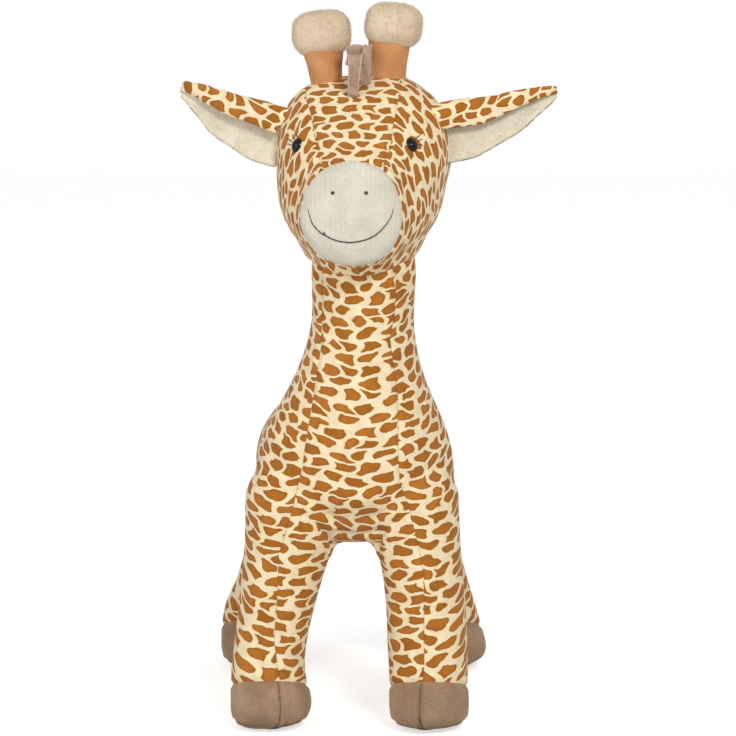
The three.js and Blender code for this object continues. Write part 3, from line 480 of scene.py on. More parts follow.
def printed_plush(name, panels, wide=SPOT_WIDE, tall=SPOT_TALL):
    """Polyester velour with a giraffe print: rounded brown spots on cream. The short pile breaks the edge of each
    spot, gives a soft bright rim where the surface turns away, and lies a little differently from place to place."""
    material, tree, shader = new_material(name, Roughness=0.88, Specular_IOR_Level=0.12, Sheen_Weight=0.22,
                                          Sheen_Roughness=0.45, Sheen_Tint="#fff0dc")
    place = add_node(tree, "TexCoord", out="Object")
    cloth, seam = panels(tree, place)
    # The print's lines wander by a few millimetres, in waves about 10 mm long.
    wander = add_node(tree, "TexNoise", cloth, out="Color", Scale=62.0, Detail=1.5)
    wander = add_node(tree, "VectorMath", wander, (0.5, 0.5, 0.5), operation="SUBTRACT")
    wander = add_node(tree, "VectorMath", wander, 9.5 * MM, operation="SCALE")
    moved = add_node(tree, "VectorMath", cloth, wander, operation="ADD")
    cells = add_node(tree, "VectorMath", moved, (1 / (wide * MM), 1 / (tall * MM), 0), operation="MULTIPLY")
    # Every other row stands half a spot aside, as bricks do.
    u, v, _ = add_node(tree, "SeparateXYZ", cells, out=None)
    row = add_node(tree, "Math", v, math.pi, 0.7, operation="MULTIPLY_ADD")
    aside = add_node(tree, "Math", row, operation="SINE")
    u = add_node(tree, "Math", aside, 0.25, u, operation="MULTIPLY_ADD")
    cells = add_node(tree, "CombineXYZ", u, v)
    loose = {"voronoi_dimensions": "2D", "Scale": 1.0, "Randomness": 0.58}
    edge = add_node(tree, "TexVoronoi", cells, feature="DISTANCE_TO_EDGE", **loose)
    middle, own, _ = add_node(tree, "TexVoronoi", cells, feature="F1", out=None, **loose)
    tint, size, _ = add_node(tree, "SeparateColor", own, out=None)
    # Corners are rounded, and each spot is a little larger or smaller than the next.
    corner = add_node(tree, "MapRange", middle, 0.31, 0.64, 0.0, 0.17, **SOFT)
    uneven = add_node(tree, "Math", size, 0.08, -0.045, operation="MULTIPLY_ADD")
    edge = add_node(tree, "Math", edge, corner, operation="SUBTRACT")
    edge = add_node(tree, "Math", edge, uneven, operation="SUBTRACT")
    fibre = add_node(tree, "TexNoise", place, Scale=noise_scale(0.9), Detail=2.0)
    ragged = add_node(tree, "Math", fibre, 0.06, edge, operation="MULTIPLY_ADD")
    brown = add_node(tree, "MapRange", ragged, 0.112, 0.168, **SOFT)
    core = add_node(tree, "Mix", tint, "#a4641f", "#b8722b", **BLEND)
    core = add_node(tree, "Mix", add_node(tree, "MapRange", edge, 0.13, 0.3, **SOFT), "#9a6022", core, **BLEND)
    cloudy = add_node(tree, "TexNoise", place, Scale=noise_scale(16), Detail=2.0)
    ground = add_node(tree, "Mix", cloudy, "#f3dcb0", "#f4e4c2", **BLEND)
    ground = add_node(tree, "Mix", add_node(tree, "MapRange", edge, 0.03, 0.1, **SOFT), ground, "#f6d4a0", **BLEND)
    colour = add_node(tree, "Mix", brown, ground, core, **BLEND)
    lay = add_node(tree, "TexNoise", place, Scale=noise_scale(6), Detail=2.0)
    lay = add_node(tree, "MapRange", lay, 0.3, 0.7, 0.82, 0.94, **SOFT)
    lay = add_node(tree, "Math", fibre, 0.22, lay, operation="MULTIPLY_ADD")
    colour = add_node(tree, "Mix", 1.0, colour, lay, **SHADE)
    # Painted shade: the print is darkened within about a millimetre of each seam, where the seam's crease lies.
    if seam:
        line = add_node(tree, "MapRange", seam, 0.1 * MM, 1.1 * MM, 0.78, 1.0, **SOFT)
        colour = add_node(tree, "Mix", 1.0, colour, line, **SHADE)
    feed(shader.inputs["Base Color"], colour)
    crumple = add_node(tree, "TexNoise", place, Scale=noise_scale(11), Detail=3.0)
    tufts = add_node(tree, "TexNoise", place, Scale=noise_scale(3.2), Detail=2.0)
    relief(tree, shader, [(crumple, 1.2), (tufts, 0.4), (fibre, 0.4)])
    return material


# The seams of the front panel, which runs from the chin down the neck and chest and on to the middle of each
# leg: height and x, measured.
RIGHT_SEAM = [(0, -60), (26, -62), (41, -64), (60, -67.5), (85, -71), (128, -67.8), (163, -66.6), (171, -63.6),
              (208, -52.8), (240, -45.5), (258, -43), (300, -36), (343, -29), (388, -28), (430, -28)]
LEFT_SEAM = [(0, 60), (42, 60.3), (62, 63), (94, 63), (145, 62.8), (169, 58), (208, 48.3), (225, 41.2), (249, 39.8),
             (303, 39.4), (326, 36), (353, 32.5), (378, 37.5), (430, 37.6)]
REAR_SEAM = [(0, 94.5), (27, 94), (48, 88.5), (76, 80), (113, 69.5), (157, 57), (193, 48), (230, 44)]
REAR_RIGHT_SEAM = [(z, -x) for z, x in REAR_SEAM]
FRONT_ENDS, BELLY_TOP = -55, 185  # where the front panel ends at the sides of the neck, and the belly panel above
REAR_STARTS = 20  # the y from which a seam on a leg belongs to a hind leg

# The head's forehead panel, between the horns and down to the muzzle.
HEAD_RIGHT_SEAM = [(480, -27), (510.6, -29), (523, -32.6), (535.7, -34.4), (552.5, -38), (565, -42.6), (600, -44)]
HEAD_LEFT_SEAM = [(480, 25), (512, 26.4), (523, 32.6), (540, 34.4), (557, 38), (569, 40.8), (600, 43)]
FOREHEAD_LOW = 500
HEAD_MIDDLE = 5  # the x of the seam down the back of the head


def three_panels(tree, x, sides, front, centre):
    """The cloth at each point, from the front panel or the one at its side, and the distance to the nearest seam."""
    after = add_node(tree, "Math", x, sides[0], operation="GREATER_THAN")
    before = add_node(tree, "Math", x, sides[1], operation="LESS_THAN")
    inside = add_node(tree, "Math", after, before, operation="MULTIPLY")
    inside = add_node(tree, "Math", inside, front, operation="MULTIPLY")
    away = add_node(tree, "Math", x, centre * MM, operation="SUBTRACT")
    left = add_node(tree, "Math", away, 0.0, operation="GREATER_THAN")
    on_right, on_left, on_front = (add_node(tree, "Attribute", out="Vector", attribute_name=name)
                                   for name in ("cloth_right", "cloth_left", "cloth_front"))
    cloth = add_node(tree, "Mix", left, on_right, on_left, data_type="VECTOR")
    cloth = add_node(tree, "Mix", inside, cloth, on_front, data_type="VECTOR")
    gaps = []
    for side in sides:
        gap = add_node(tree, "Math", x, side, operation="SUBTRACT")
        gaps.append(add_node(tree, "Math", gap, operation="ABSOLUTE"))
    nearest = add_node(tree, "Math", *gaps, operation="MINIMUM")
    away = add_node(tree, "Math", away, operation="ABSOLUTE")
    return cloth, add_node(tree, "Mix", front, away, nearest, data_type="FLOAT")


def body_panels(tree, place):
    x, y, z = add_node(tree, "SeparateXYZ", place, out=None)
    rear = add_node(tree, "Math", y, (REAR_STARTS + STANCE.y) * MM, operation="GREATER_THAN")
    sides = []
    for front_rows, rear_rows in ((RIGHT_SEAM, REAR_RIGHT_SEAM), (LEFT_SEAM, REAR_SEAM)):
        across = seam_across(tree, z, front_rows), seam_across(tree, z, rear_rows)
        sides.append(add_node(tree, "Mix", rear, *across, data_type="FLOAT"))
    chest = add_node(tree, "Math", y, (FRONT_ENDS + STANCE.y) * MM, operation="LESS_THAN")
    belly = add_node(tree, "Math", z, BELLY_TOP * MM, operation="LESS_THAN")
    front = add_node(tree, "Math", chest, belly, operation="MAXIMUM")
    return three_panels(tree, x, sides, front, STANCE.x)


def head_panels(tree, place):
    x, _, z = add_node(tree, "SeparateXYZ", place, out=None)
    sides = [seam_across(tree, z, rows, top=620) for rows in (HEAD_RIGHT_SEAM, HEAD_LEFT_SEAM)]
    front = add_node(tree, "Math", z, FOREHEAD_LOW * MM, operation="GREATER_THAN")
    return three_panels(tree, x, sides, front, HEAD_MIDDLE + STANCE.x)


def one_panel(tree, place):
    return add_node(tree, "Attribute", out="Vector", attribute_name="cloth_front"), None


def plain_pile(name, low, high, pile, sheen=0.35, mottle=12, tint="#ffffff", ribs=0.0, crumple=1.2, seams=False):
    """A plain pile cloth: its colour goes from low to high as the pile leans this way and that. In millimetres,
    pile is the size of a tuft, mottle that of a patch, crumple its height, and ribs the pitch of the pile's rows."""
    material, tree, shader = new_material(name, Roughness=0.9, Specular_IOR_Level=0.12, Sheen_Weight=sheen,
                                          Sheen_Roughness=0.5, Sheen_Tint=tint)
    place = add_node(tree, "TexCoord", out="Object")
    patches = add_node(tree, "TexNoise", place, Scale=noise_scale(mottle), Detail=3.0)
    tufts = add_node(tree, "TexNoise", place, Scale=noise_scale(3 * pile), Detail=2.0)
    fibre = add_node(tree, "TexNoise", place, Scale=noise_scale(pile), Detail=2.0)
    tone = add_node(tree, "Math", fibre, 0.4, operation="MULTIPLY")
    tone = add_node(tree, "Math", patches, 0.6, tone, operation="MULTIPLY_ADD")
    tone = add_node(tree, "MapRange", tone, 0.34, 0.66, **SOFT)
    colour = add_node(tree, "Mix", tone, low, high, **BLEND)
    layers = [(patches, crumple), (tufts, 0.5 * pile), (fibre, 0.6 * pile)]
    if ribs:
        rib = add_node(tree, "TexWave", place, out="Fac", wave_type="BANDS", bands_direction="X", wave_profile="SIN",
                       Scale=1 / (ribs * MM * math.pi), Distortion=1.5, Detail=2.0, Detail_Scale=3.0)
        layers.append((rib, 0.2))
        # Painted shade: the hollows between the pile's rows are a little darker.
        shade = add_node(tree, "MapRange", rib, 0.0, 1.0, 0.965, 1.0)
        colour = add_node(tree, "Mix", 1.0, colour, shade, **SHADE)
    if seams:
        # A thin shadow lies in the toe's seam and in the seam of the sole.
        gaps = add_node(tree, "Attribute", out="Vector", attribute_name="seams")
        across, level, ahead = add_node(tree, "SeparateXYZ", gaps, out=None)
        across, level = (add_node(tree, "Math", gap, operation="ABSOLUTE") for gap in (across, level))
        heel = add_node(tree, "Math", ahead, 0.0, operation="LESS_THAN")
        toe = add_node(tree, "Math", across, heel, operation="ADD")
        line = add_node(tree, "Math", toe, level, operation="MINIMUM")
        line = add_node(tree, "MapRange", line, 0.1 * MM, 1.1 * MM, 0.5, 1.0, **SOFT)
        colour = add_node(tree, "Mix", 1.0, colour, line, **SHADE)
    feed(shader.inputs["Base Color"], colour)
    relief(tree, shader, layers)
    return material


# Short cream velboa with faint upright rows of pile: matt, a little grey where the pile lies down.
muzzle_velboa = plain_pile("muzzle_velboa", "#d0cab6", "#e0dac8", 1.1, mottle=10, ribs=4.5)
# Longer combed polyester fleece, cream: soft tufts with a bright rim.
knob_fleece = plain_pile("knob_fleece", "#d3bb9d", "#e5d1b4", 1.2, sheen=0.45, mottle=13, tint="#fff6e6", crumple=2.2)
# The same fleece, shorter and paler, which goes grey in the hollow of the ear.
lining_fleece = plain_pile("ear_lining_fleece", "#d2c7b0", "#eae0ca", 1.4, sheen=0.4, mottle=11, crumple=2.2)
# Brushed microsuede, tan: nearly flat, with a cloudy nap.
horn_suede = plain_pile("horn_microsuede", "#bf8452", "#d49c69", 0.6, sheen=0.25, mottle=14, tint="#ffd9b0",
                        crumple=0.6)
# Brown velour, whose nap is brushed lighter and darker in soft patches.
hoof_velour = plain_pile("hoof_velour", "#91745a", "#b5967a", 0.8, sheen=0.3, mottle=20, tint="#f0d8c0", crumple=1,
                         seams=True)


def smooth_plastic(name, colour, rough, specular):
    """Injection-moulded plastic: glossy, with a faint waviness where it shrank in the mould."""
    material, tree, shader = new_material(name, Roughness=rough, Specular_IOR_Level=specular, IOR=1.45)
    place = add_node(tree, "TexCoord", out="Object")
    cloudy, dull, wavy = (add_node(tree, "TexNoise", place, Scale=noise_scale(size), Detail=2.0) for size in (4, 2, 3))
    cloudy = add_node(tree, "MapRange", cloudy, 0.3, 0.7, 0.0, 0.25, **SOFT)
    feed(shader.inputs["Base Color"], add_node(tree, "Mix", cloudy, colour, "#1a120e", **BLEND))
    feed(shader.inputs["Roughness"], add_node(tree, "MapRange", dull, 0.3, 0.7, rough, rough + 0.06, **SOFT))
    relief(tree, shader, [(wavy, 0.02)])
    return material


# Polished and nearly black, so that the eye mirrors the lamp; and dull natural white for the washer.
eye_plastic = smooth_plastic("safety_eye_polypropylene", "#050404", 0.04, 0.27)
washer_plastic = smooth_plastic("washer_polypropylene", "#d8d8d4", 0.4, 0.4)


def sewing_thread(name, dark, light, pitch):
    """Twisted polyester embroidery thread: a low silky shine and the slant of its twist, whose pitch is given in
    millimetres and drawn three times as coarse, so that it shows."""
    material, tree, shader = new_material(name, Roughness=0.55, Specular_IOR_Level=0.35, Sheen_Weight=0.15)
    place = add_node(tree, "TexCoord", out="Object")
    twist = add_node(tree, "TexWave", place, out="Fac", wave_type="BANDS", bands_direction="DIAGONAL",
                     Scale=1 / (3 * pitch * MM), Distortion=2.0, Detail=1.0)
    fibre = add_node(tree, "TexNoise", place, Scale=noise_scale(0.6), Detail=2.0)
    # Painted light and shade: the twist's ridges are lighter and its grooves darker.
    feed(shader.inputs["Base Color"], add_node(tree, "Mix", twist, dark, light, **BLEND))
    relief(tree, shader, [(twist, 0.2), (fibre, 0.1)])
    return material


# Nearly black at the mouth, greyer at the nostrils, and brown at the lashes.
mouth_thread = sewing_thread("mouth_embroidery_thread", "#2b2a2b", "#4b4845", 1.2)
nostril_thread = sewing_thread("nostril_embroidery_thread", "#2e2c2a", "#5b564d", 1.0)
lash_thread = sewing_thread("lash_embroidery_thread", "#3a2413", "#6b4522", 1.0)


def woven_ribbon(name):
    """Taupe velvet ribbon: a dense short pile with a paler selvedge at each edge, and ribs 1.1 mm apart across it."""
    material, tree, shader = new_material(name, Roughness=0.7, Specular_IOR_Level=0.2, Sheen_Weight=0.45,
                                          Sheen_Roughness=0.35, Sheen_Tint="#f2dcd0")
    place = add_node(tree, "TexCoord", out="Object")
    strip = add_node(tree, "Attribute", out="Vector", attribute_name="cloth_front")
    across, along, _ = add_node(tree, "SeparateXYZ", strip, out=None)
    rib = add_node(tree, "Math", along, math.tau / (1.1 * MM), operation="MULTIPLY")
    rib = add_node(tree, "Math", rib, operation="SINE")
    across = add_node(tree, "Math", across, operation="ABSOLUTE")
    selvedge = add_node(tree, "MapRange", across, 0.78, 0.92, **SOFT)
    nap = add_node(tree, "TexNoise", place, Scale=noise_scale(5), Detail=3.0)
    nap = add_node(tree, "MapRange", nap, 0.3, 0.7, **SOFT)
    fibre = add_node(tree, "TexNoise", place, Scale=noise_scale(0.8), Detail=2.0)
    colour = add_node(tree, "Mix", nap, "#a3846f", "#c2a48e", **BLEND)
    feed(shader.inputs["Base Color"], add_node(tree, "Mix", selvedge, colour, "#cbb4a1", **BLEND))
    relief(tree, shader, [(rib, 0.1), (fibre, 0.2), (selvedge, 0.2)])
    return material


ribbon_velvet = woven_ribbon("ribbon_velvet")


# ---- Body: trunk, neck and legs are one skin, sewn from panels and stuffed

TRUNK_ROWS = [
    (0, blended(92, -70, along), 231, 91 * wide, 69 * deep, 0, 2, 2.25)
    for along, wide, deep in ((0, 0.88, 0.9), (0.33, 0.98, 0.99), (0.67, 1, 1.02), (1, 0.88, 0.98))
]
NECK_ROWS = [
    (1.2 + 8 * (share**2) * (3 - 2 * share), -50, blended(216, 405, share), blended(47.6, 92, wide),
     blended(46.5, 70, deep), 0, 2, 2)
    for share, wide, deep in (
        (0, 1, 1), (0.122, 0.96, 0.98), (0.238, 0.83, 0.86), (0.354, 0.61, 0.66), (0.471, 0.36, 0.42),
        (0.587, 0.165, 0.22), (0.704, 0.035, 0.08), (0.82, -0.02, 0), (1, 0, 0))
]
# Each leg from hip to foot: height, x, y, half width and half depth; and how far the toe turns in, in degrees.
LEGS = {
    "front_left": ([(200, 52, -70, 45, 44), (157, 60.5, -77, 37.4, 40), (113, 65.2, -86, 36, 36.5),
                    (76, 66.7, -92, 36.2, 36), (48, 67.5, -97, 35.6, 38), (21, 67.8, -104, 35.8, 40.5)], 14),
    "front_right": ([(200, -53, -70, 46, 44), (157, -60.5, -77, 38.6, 40), (113, -69.3, -84, 33.8, 36),
                     (76, -75.3, -89, 31.6, 35), (48, -77.3, -93, 32.8, 37), (23, -74.2, -101, 36.4, 40)], -14),
    "rear_left": ([(200, 48, 84, 42, 43), (157, 56.5, 106, 38.5, 40), (113, 68.5, 121, 35.5, 37),
                   (76, 79, 127, 34.5, 36), (48, 87.5, 127, 34.5, 37.5), (17, 94.5, 122, 36, 40)], 8),
    "rear_right": ([(200, -48, 84, 42, 43), (157, -57.5, 106, 38.5, 40), (113, -70.5, 122, 35.5, 37),
                    (76, -81.5, 129, 34.5, 36), (48, -93, 131, 35, 37.5), (21, -94, 127, 35.5, 39.5)], -6),
}
HIP_HEIGHT, TURNED_HEIGHT = 200, 23  # a leg turns towards its toe from the first height down to the second
VOXEL = 4 * MM  # the mesh of a skin when it is sewn, before it is made finer
SOLE_HEIGHT = 0.4 * MM
COLLAR = 426  # above this height the neck's skin lies inside the head


def leg_rows(name):
    rows, toe = LEGS[name]
    turn = math.radians(toe) / (HIP_HEIGHT - TURNED_HEIGHT)
    return [(x, y, z, wide, deep, turn * (HIP_HEIGHT - z), 2, 2) for z, x, y, wide, deep in rows]


bm = bmesh.new()
stuffed_form(bm, TRUNK_ROWS, 50, 40, rings=12)
stuffed_form(bm, NECK_ROWS, 30, 46, axis=Vector((0, 0, 1)), rings=20, end_square=2.7)
for leg_name in LEGS:
    lowest = LEGS[leg_name][0][-1][0]
    stuffed_form(bm, leg_rows(leg_name), 44, lowest + 0.5, end_square=2.75, rings=14)
bmesh.ops.recalc_face_normals(bm, faces=bm.faces)
trunk = from_bmesh("trunk_and_neck", bm)
remeshed(trunk, VOXEL)
relaxed(trunk.data, 10)
stuffing_pressure(trunk, pressure=4, cap=0.006)
relaxed(trunk.data, 3)
# Its soles rest flat on the floor.
points = points_of(trunk.data)
points[:, 2] = np.maximum(points[:, 2], SOLE_HEIGHT)
set_points(trunk.data, points)


def measured(mesh):
    """The mesh's points in measured millimetres."""
    return points_of(mesh) / MM - np.array(STANCE)


def seam_x(z, rows):
    rows = sorted(rows)
    return np.interp(z, [r[0] for r in rows], [r[1] for r in rows])


def lay_body_panels(mesh):
    """Lays out each of the body's panels with a margin past its seams, and as cut from a place of its own."""
    x, y, z = measured(mesh).T
    rear = y > REAR_STARTS
    right = np.where(rear, seam_x(z, REAR_RIGHT_SEAM), seam_x(z, RIGHT_SEAM))
    left = np.where(rear, seam_x(z, REAR_SEAM), seam_x(z, LEFT_SEAM))
    run = 14
    skin = z < COLLAR
    front = skin & (x > right - run) & (x < left + run) & ((y < FRONT_ENDS + run) | (z < BELLY_TOP + run))
    deep = (x > right + run) & (x < left - run) & ((y < FRONT_ENDS - run) | (z < BELLY_TOP - run))
    up = np.tile((0.0, -0.5, 1.0), (len(x), 1))
    sag = np.stack([-0.2 * np.tanh((x - 4) / 30), 0 * x - 0.2, 0 * x + 1], 1)
    keep_layout(mesh, "cloth_front", laid_out(mesh, sag, front))
    keep_layout(mesh, "cloth_left", laid_out(mesh, up, skin & (x > -run) & ~deep) + (1.3, 0.7, 0))
    keep_layout(mesh, "cloth_right", laid_out(mesh, up, skin & (x < run) & ~deep) + (2.9, 1.9, 0))


lay_body_panels(trunk.data)
subdivided(trunk)


def seam_path(rows, y, low, high, count=60):
    """Points of a seam on the surface: each is found from well outside it, looking along Y."""
    path = []
    for z in np.linspace(low, high, count):
        start = here(float(seam_x(z, rows)), y, z)
        place, *_ = skin_tree.ray_cast(start, Vector((0, -math.copysign(1, y), 0)))
        if place:
            path.append(place)
    return path


SEAM_DEPTH, SEAM_WIDTH = 1.2 * MM, 1.7 * MM
OUT_FRONT, OUT_BACK = -300, 300  # the y from which the skin is looked for, well outside it

skin_tree = tree_of(trunk)
for rows in (RIGHT_SEAM, LEFT_SEAM):
    creased(trunk.data, seam_path(rows, OUT_FRONT, 4, 425), SEAM_DEPTH, SEAM_WIDTH, pucker=0.00022)
for rows in (REAR_SEAM, REAR_RIGHT_SEAM):
    creased(trunk.data, seam_path(rows, OUT_BACK, 4, 190, 30), 1 * MM, SEAM_WIDTH, pucker=0.0002)
spine = seam_path([(0, 0), (440, 8)], OUT_BACK, 175, 425, 40)
creased(trunk.data, spine, SEAM_DEPTH, SEAM_WIDTH, pucker=0.0002)


def fold(piece, spots, depth, width):
    """A soft fold, drawn through points of the photograph."""
    path = [seen_on(skin_tree, *spot)[0] for spot in spots]
    creased(piece.data, [place for place in path if place], depth, width, puff=0.5)


skin_tree = tree_of(trunk)
for spots, depth, width in (
    (((332.5, 546), (329, 536), (322, 528), (312, 520), (303, 515)), 0.0030, 0.0032),
    (((377.5, 546), (380.5, 536), (388, 528), (397, 520), (405, 514)), 0.0030, 0.0032),
    (((318, 511), (326, 513), (334, 519)), 0.0012, 0.003),
    (((383, 514), (394, 508), (406, 505)), 0.0012, 0.003),
    (((336, 531), (352, 534), (368, 533), (380, 529)), 0.0014, 0.003),
    (((412, 274), (398, 279), (386, 279)), 0.0014, 0.003),
    (((316, 276), (328, 281), (342, 283)), 0.0012, 0.003),
    (((263, 440), (270, 452), (283, 461)), 0.001, 0.004),
    (((448, 452), (440, 463), (428, 470)), 0.001, 0.004),
):
    fold(trunk, spots, depth, width)


def ring_crease(mesh, place, normal, reach, depth, width, swell=0.0, puckers=0, pucker=0.0):
    """Draws the skin in along the plane of a seam that runs round it, and swells the side beyond the seam."""
    points, normals = points_of(mesh), normals_of(mesh)
    place, normal = np.array(place), np.array(normal)
    away = points - place
    side = away @ normal
    near = np.linalg.norm(away, axis=1) < reach
    move = -depth * np.exp(-((side / width) ** 2))
    move += swell * np.clip(side / 0.006, 0, 1) * np.exp(-np.clip(side, 0, 1) / 0.03)
    if puckers:
        turn = np.arctan2(away @ np.cross(normal, (0.13, 0.2, 0.97)), away[:, 2])
        wave = np.sin(puckers * turn + 2.2 * np.sin(3 * turn + 1)) * (0.55 + 0.45 * np.sin(5 * turn + 2))
        beside = np.exp(-((np.abs(side) / (3.2 * width)) ** 1.5)) * np.clip(np.abs(side) / (0.7 * width), 0, 1)
        move += pucker * wave * beside
    set_points(mesh, points + normals * (move * near)[:, None])


def cut_off(piece, name, place, normal, seed, reach):
    """Cuts a skin along a plane near a place, and makes the part that holds seed a piece of its own."""
    bm = bmesh.new()
    bm.from_mesh(piece.data)
    faces = [f for f in bm.faces if (f.calc_center_median() - place).length < reach]
    verts = dict.fromkeys(vert for face in faces for vert in face.verts)
    edges = dict.fromkeys(edge for face in faces for edge in face.edges)
    geom = [*verts, *edges, *faces]
    made = bmesh.ops.bisect_plane(bm, geom=geom, dist=1e-6, plane_co=place, plane_no=normal)
    cut = {e for e in made["geom_cut"] if isinstance(e, bmesh.types.BMEdge)}
    first = min(bm.faces, key=lambda f: (f.calc_center_median() - seed).length)
    part, open_faces = {first}, [first]
    while open_faces:
        for edge in open_faces.pop().edges:
            if edge not in cut:
                for face in edge.link_faces:
                    if face not in part:
                        part.add(face)
                        open_faces.append(face)
    bm.faces.index_update()
    chosen = {f.index for f in part}
    other = bm.copy()
    bmesh.ops.delete(bm, geom=[f for f in bm.faces if f.index in chosen], context="FACES")
    bmesh.ops.delete(other, geom=[f for f in other.faces if f.index not in chosen], context="FACES")
    bm.to_mesh(piece.data)
    bm.free()
    return from_bmesh(name, other)


def closed_up(piece):
    """Closes each open edge with a flat wall, which lies hidden inside the toy."""
    bm = bmesh.new()
    bm.from_mesh(piece.data)
    edges = [e for e in bm.edges if e.is_boundary]
    for edge in edges:
        edge.smooth = False
    made = bmesh.ops.holes_fill(bm, edges=edges, sides=0)["faces"]
    bmesh.ops.triangulate(bm, faces=made)
    bm.to_mesh(piece.data)
    bm.free()


# The seam round each ankle slants: its plane rises towards the toe.
HOOF_SEAM = Vector((0, math.sin(math.radians(19.5)), math.cos(math.radians(19.5))))
HOOF_MIDDLE = 20  # the height at which a hoof's middle is taken
SOLE_SEAM = 7.5  # the height of the seam round its sole


def on_leg(name, height):
    """The middle of a leg at a height."""
    rows = LEGS[name][0][::-1]
    heights = [row[0] for row in rows]
    x, y = (float(np.interp(height, heights, [row[k] for row in rows])) for k in (1, 2))
    return Vector((x, y, height))


def skin_towards(place, way):
    """Where the skin is met from 100 mm outside a place, looking back against the way out."""
    return skin_tree.ray_cast(place + way * 0.1, -way)[0]


ankles, hooves, leg_skins, hips = {}, {}, {}, {}
for leg_name, (_, toe) in LEGS.items():
    ankle = here(*on_leg(leg_name, 38 if "front" in leg_name else 41))
    ring_crease(trunk.data, ankle, -HOOF_SEAM, reach=0.062, depth=0.0022, width=0.0022, swell=0.0003, puckers=34,
                pucker=0.0004)
    ankles[leg_name] = ankle
    # The hoof's front seam, down over the toe, and the seam of its sole.
    foot = on_leg(leg_name, HOOF_MIDDLE)
    turn = math.radians(toe)
    ahead = Vector((-math.sin(turn), -math.cos(turn), 0))
    front = [skin_towards(here(foot.x, foot.y, z), ahead) for z in np.linspace(56, 2, 24)]
    creased(trunk.data, [place for place in front if place], depth=0.0018, width=0.0015, puff=0.5, pucker=0.0002)
    ways = [Vector((math.cos(k / 48 * math.tau), math.sin(k / 48 * math.tau), 0)) for k in range(49)]
    sole = [skin_towards(here(foot.x, foot.y, SOLE_SEAM - 1.5 * way.y), way) for way in ways]
    creased(trunk.data, [place for place in sole if place], depth=0.0012, width=0.0016, puff=0.5, pucker=0.0003,
            pitch=0.005)
for leg_name, ankle in ankles.items():
    seed = here(*on_leg(leg_name, 27)) - Vector((0, 0, 0.027))
    hooves[leg_name] = cut_off(trunk, f"{leg_name}_hoof_velour", ankle, HOOF_SEAM, seed, reach=0.07)
for leg_name in LEGS:
    side = 1 if "left" in leg_name else -1
    back = 1 if "front" in leg_name else -1
    slope = Vector((-side * 0.38, back * 0.3, 1)).normalized()
    hip = here(side * 6, -42 * back, 156)
    hips[leg_name] = (hip, slope)
    seed = here(*on_leg(leg_name, 80)) + Vector((0, -0.036 * back, 0))
    leg_skins[leg_name] = cut_off(trunk, f"{leg_name}_leg_plush", hip, slope, seed, reach=0.16)

body_print = printed_plush("printed_velour_body", body_panels)
closed_up(trunk)
finished(trunk, body_print, "torso", "plush_print", "trunk_cover", "neck_cover", "trunk_filling", "neck_filling",
         fill=0.85)
for leg_name, piece in leg_skins.items():
    hip, slope = hips[leg_name]
    closed_up(piece)
    finished(piece, body_print, None, "plush_print", f"{leg_name}_leg_cover", f"{leg_name}_leg_filling", fill=0.85)
    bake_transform(piece)
for leg_name, piece in hooves.items():
    foot, turn = on_leg(leg_name, HOOF_MIDDLE), math.radians(LEGS[leg_name][1])
    points = points_of(piece.data) - np.array(here(*foot))
    across = points @ (math.cos(turn), -math.sin(turn), 0)
    ahead = points @ (-math.sin(turn), -math.cos(turn), 0)
    level = points[:, 2] + (foot.z - SOLE_SEAM) * MM + 0.0015 * ahead / np.hypot(across, ahead)
    keep_layout(piece.data, "seams", np.stack([across, level, ahead], 1))
    closed_up(piece)
    finished(piece, hoof_velour, f"{leg_name}_leg", "hoof_velour", f"{leg_name}_hoof", fill=0.8)

# ---- Head

HEAD_TURN = Matrix.Rotation(math.radians(-5.5), 3, "Z")
HEAD_AT = here(8, -50, 405)
HEAD_ROWS = [
    (0, blended(40, -88, along), blended(97, 63, middle), blended(156, 92.5, wide) / 2,
     blended(160, 90, deep) / 2, 0, top, low)
    for along, wide, deep, middle, top, low in (
        (0, 0.01, 0.02, -0.06, 2.6, 2.3), (0.3, 0, 0, 0, 3, 2.6), (0.55, 0.26, 0.31, 0.29, 2.7, 2.75),
        (0.735, 0.61, 0.64, 0.7, 2.4, 2.6), (0.875, 0.86, 0.84, 0.94, 2.2, 2.3), (1, 1, 1, 1, 2.1, 2.1))
]


def on_head(x, y, z):
    """A place in the head's own frame, in millimetres, in the model's frame."""
    return HEAD_TURN @ (Vector((x, y, z)) * MM) + HEAD_AT


bm = bmesh.new()
stuffed_form(bm, HEAD_ROWS, 50, 14, axis=Vector((0, -1, 0)), rings=20, sides=56)
bmesh.ops.recalc_face_normals(bm, faces=bm.faces)
for vert in bm.verts:
    vert.co = on_head(*(vert.co / MM - STANCE))
head = from_bmesh("head_plush", bm)
remeshed(head, VOXEL)
relaxed(head.data, 6)
stuffing_pressure(head, pressure=3, cap=0.003)
relaxed(head.data, 2)


def eased(share):
    share = np.clip(share, 0, 1)
    return share**2 * (3 - 2 * share)


# The plush comes a little way down round the neck, and the crown is fuller on the toy's left.
points, normals = points_of(head.data), normals_of(head.data)
x, y, z = measured(head.data).T
points[:, 2] -= 0.011 * eased((64 - np.hypot(x - 9, y + 50)) / 14) * eased(-2 * normals[:, 2])
points[:, 2] += 0.0035 * eased((x - 4) / 24) * eased((62 - x) / 24) * eased((z - 540) / 24)
points[:, 0] -= 0.0036 * eased((x - 14) / 40) * eased((510 - z) / 30)
set_points(head.data, points)
MUZZLE_SEAM, MUZZLE_WAY = on_head(0, -83.2, 63), HEAD_TURN @ Vector((-0.025, -1, -0.035)).normalized()


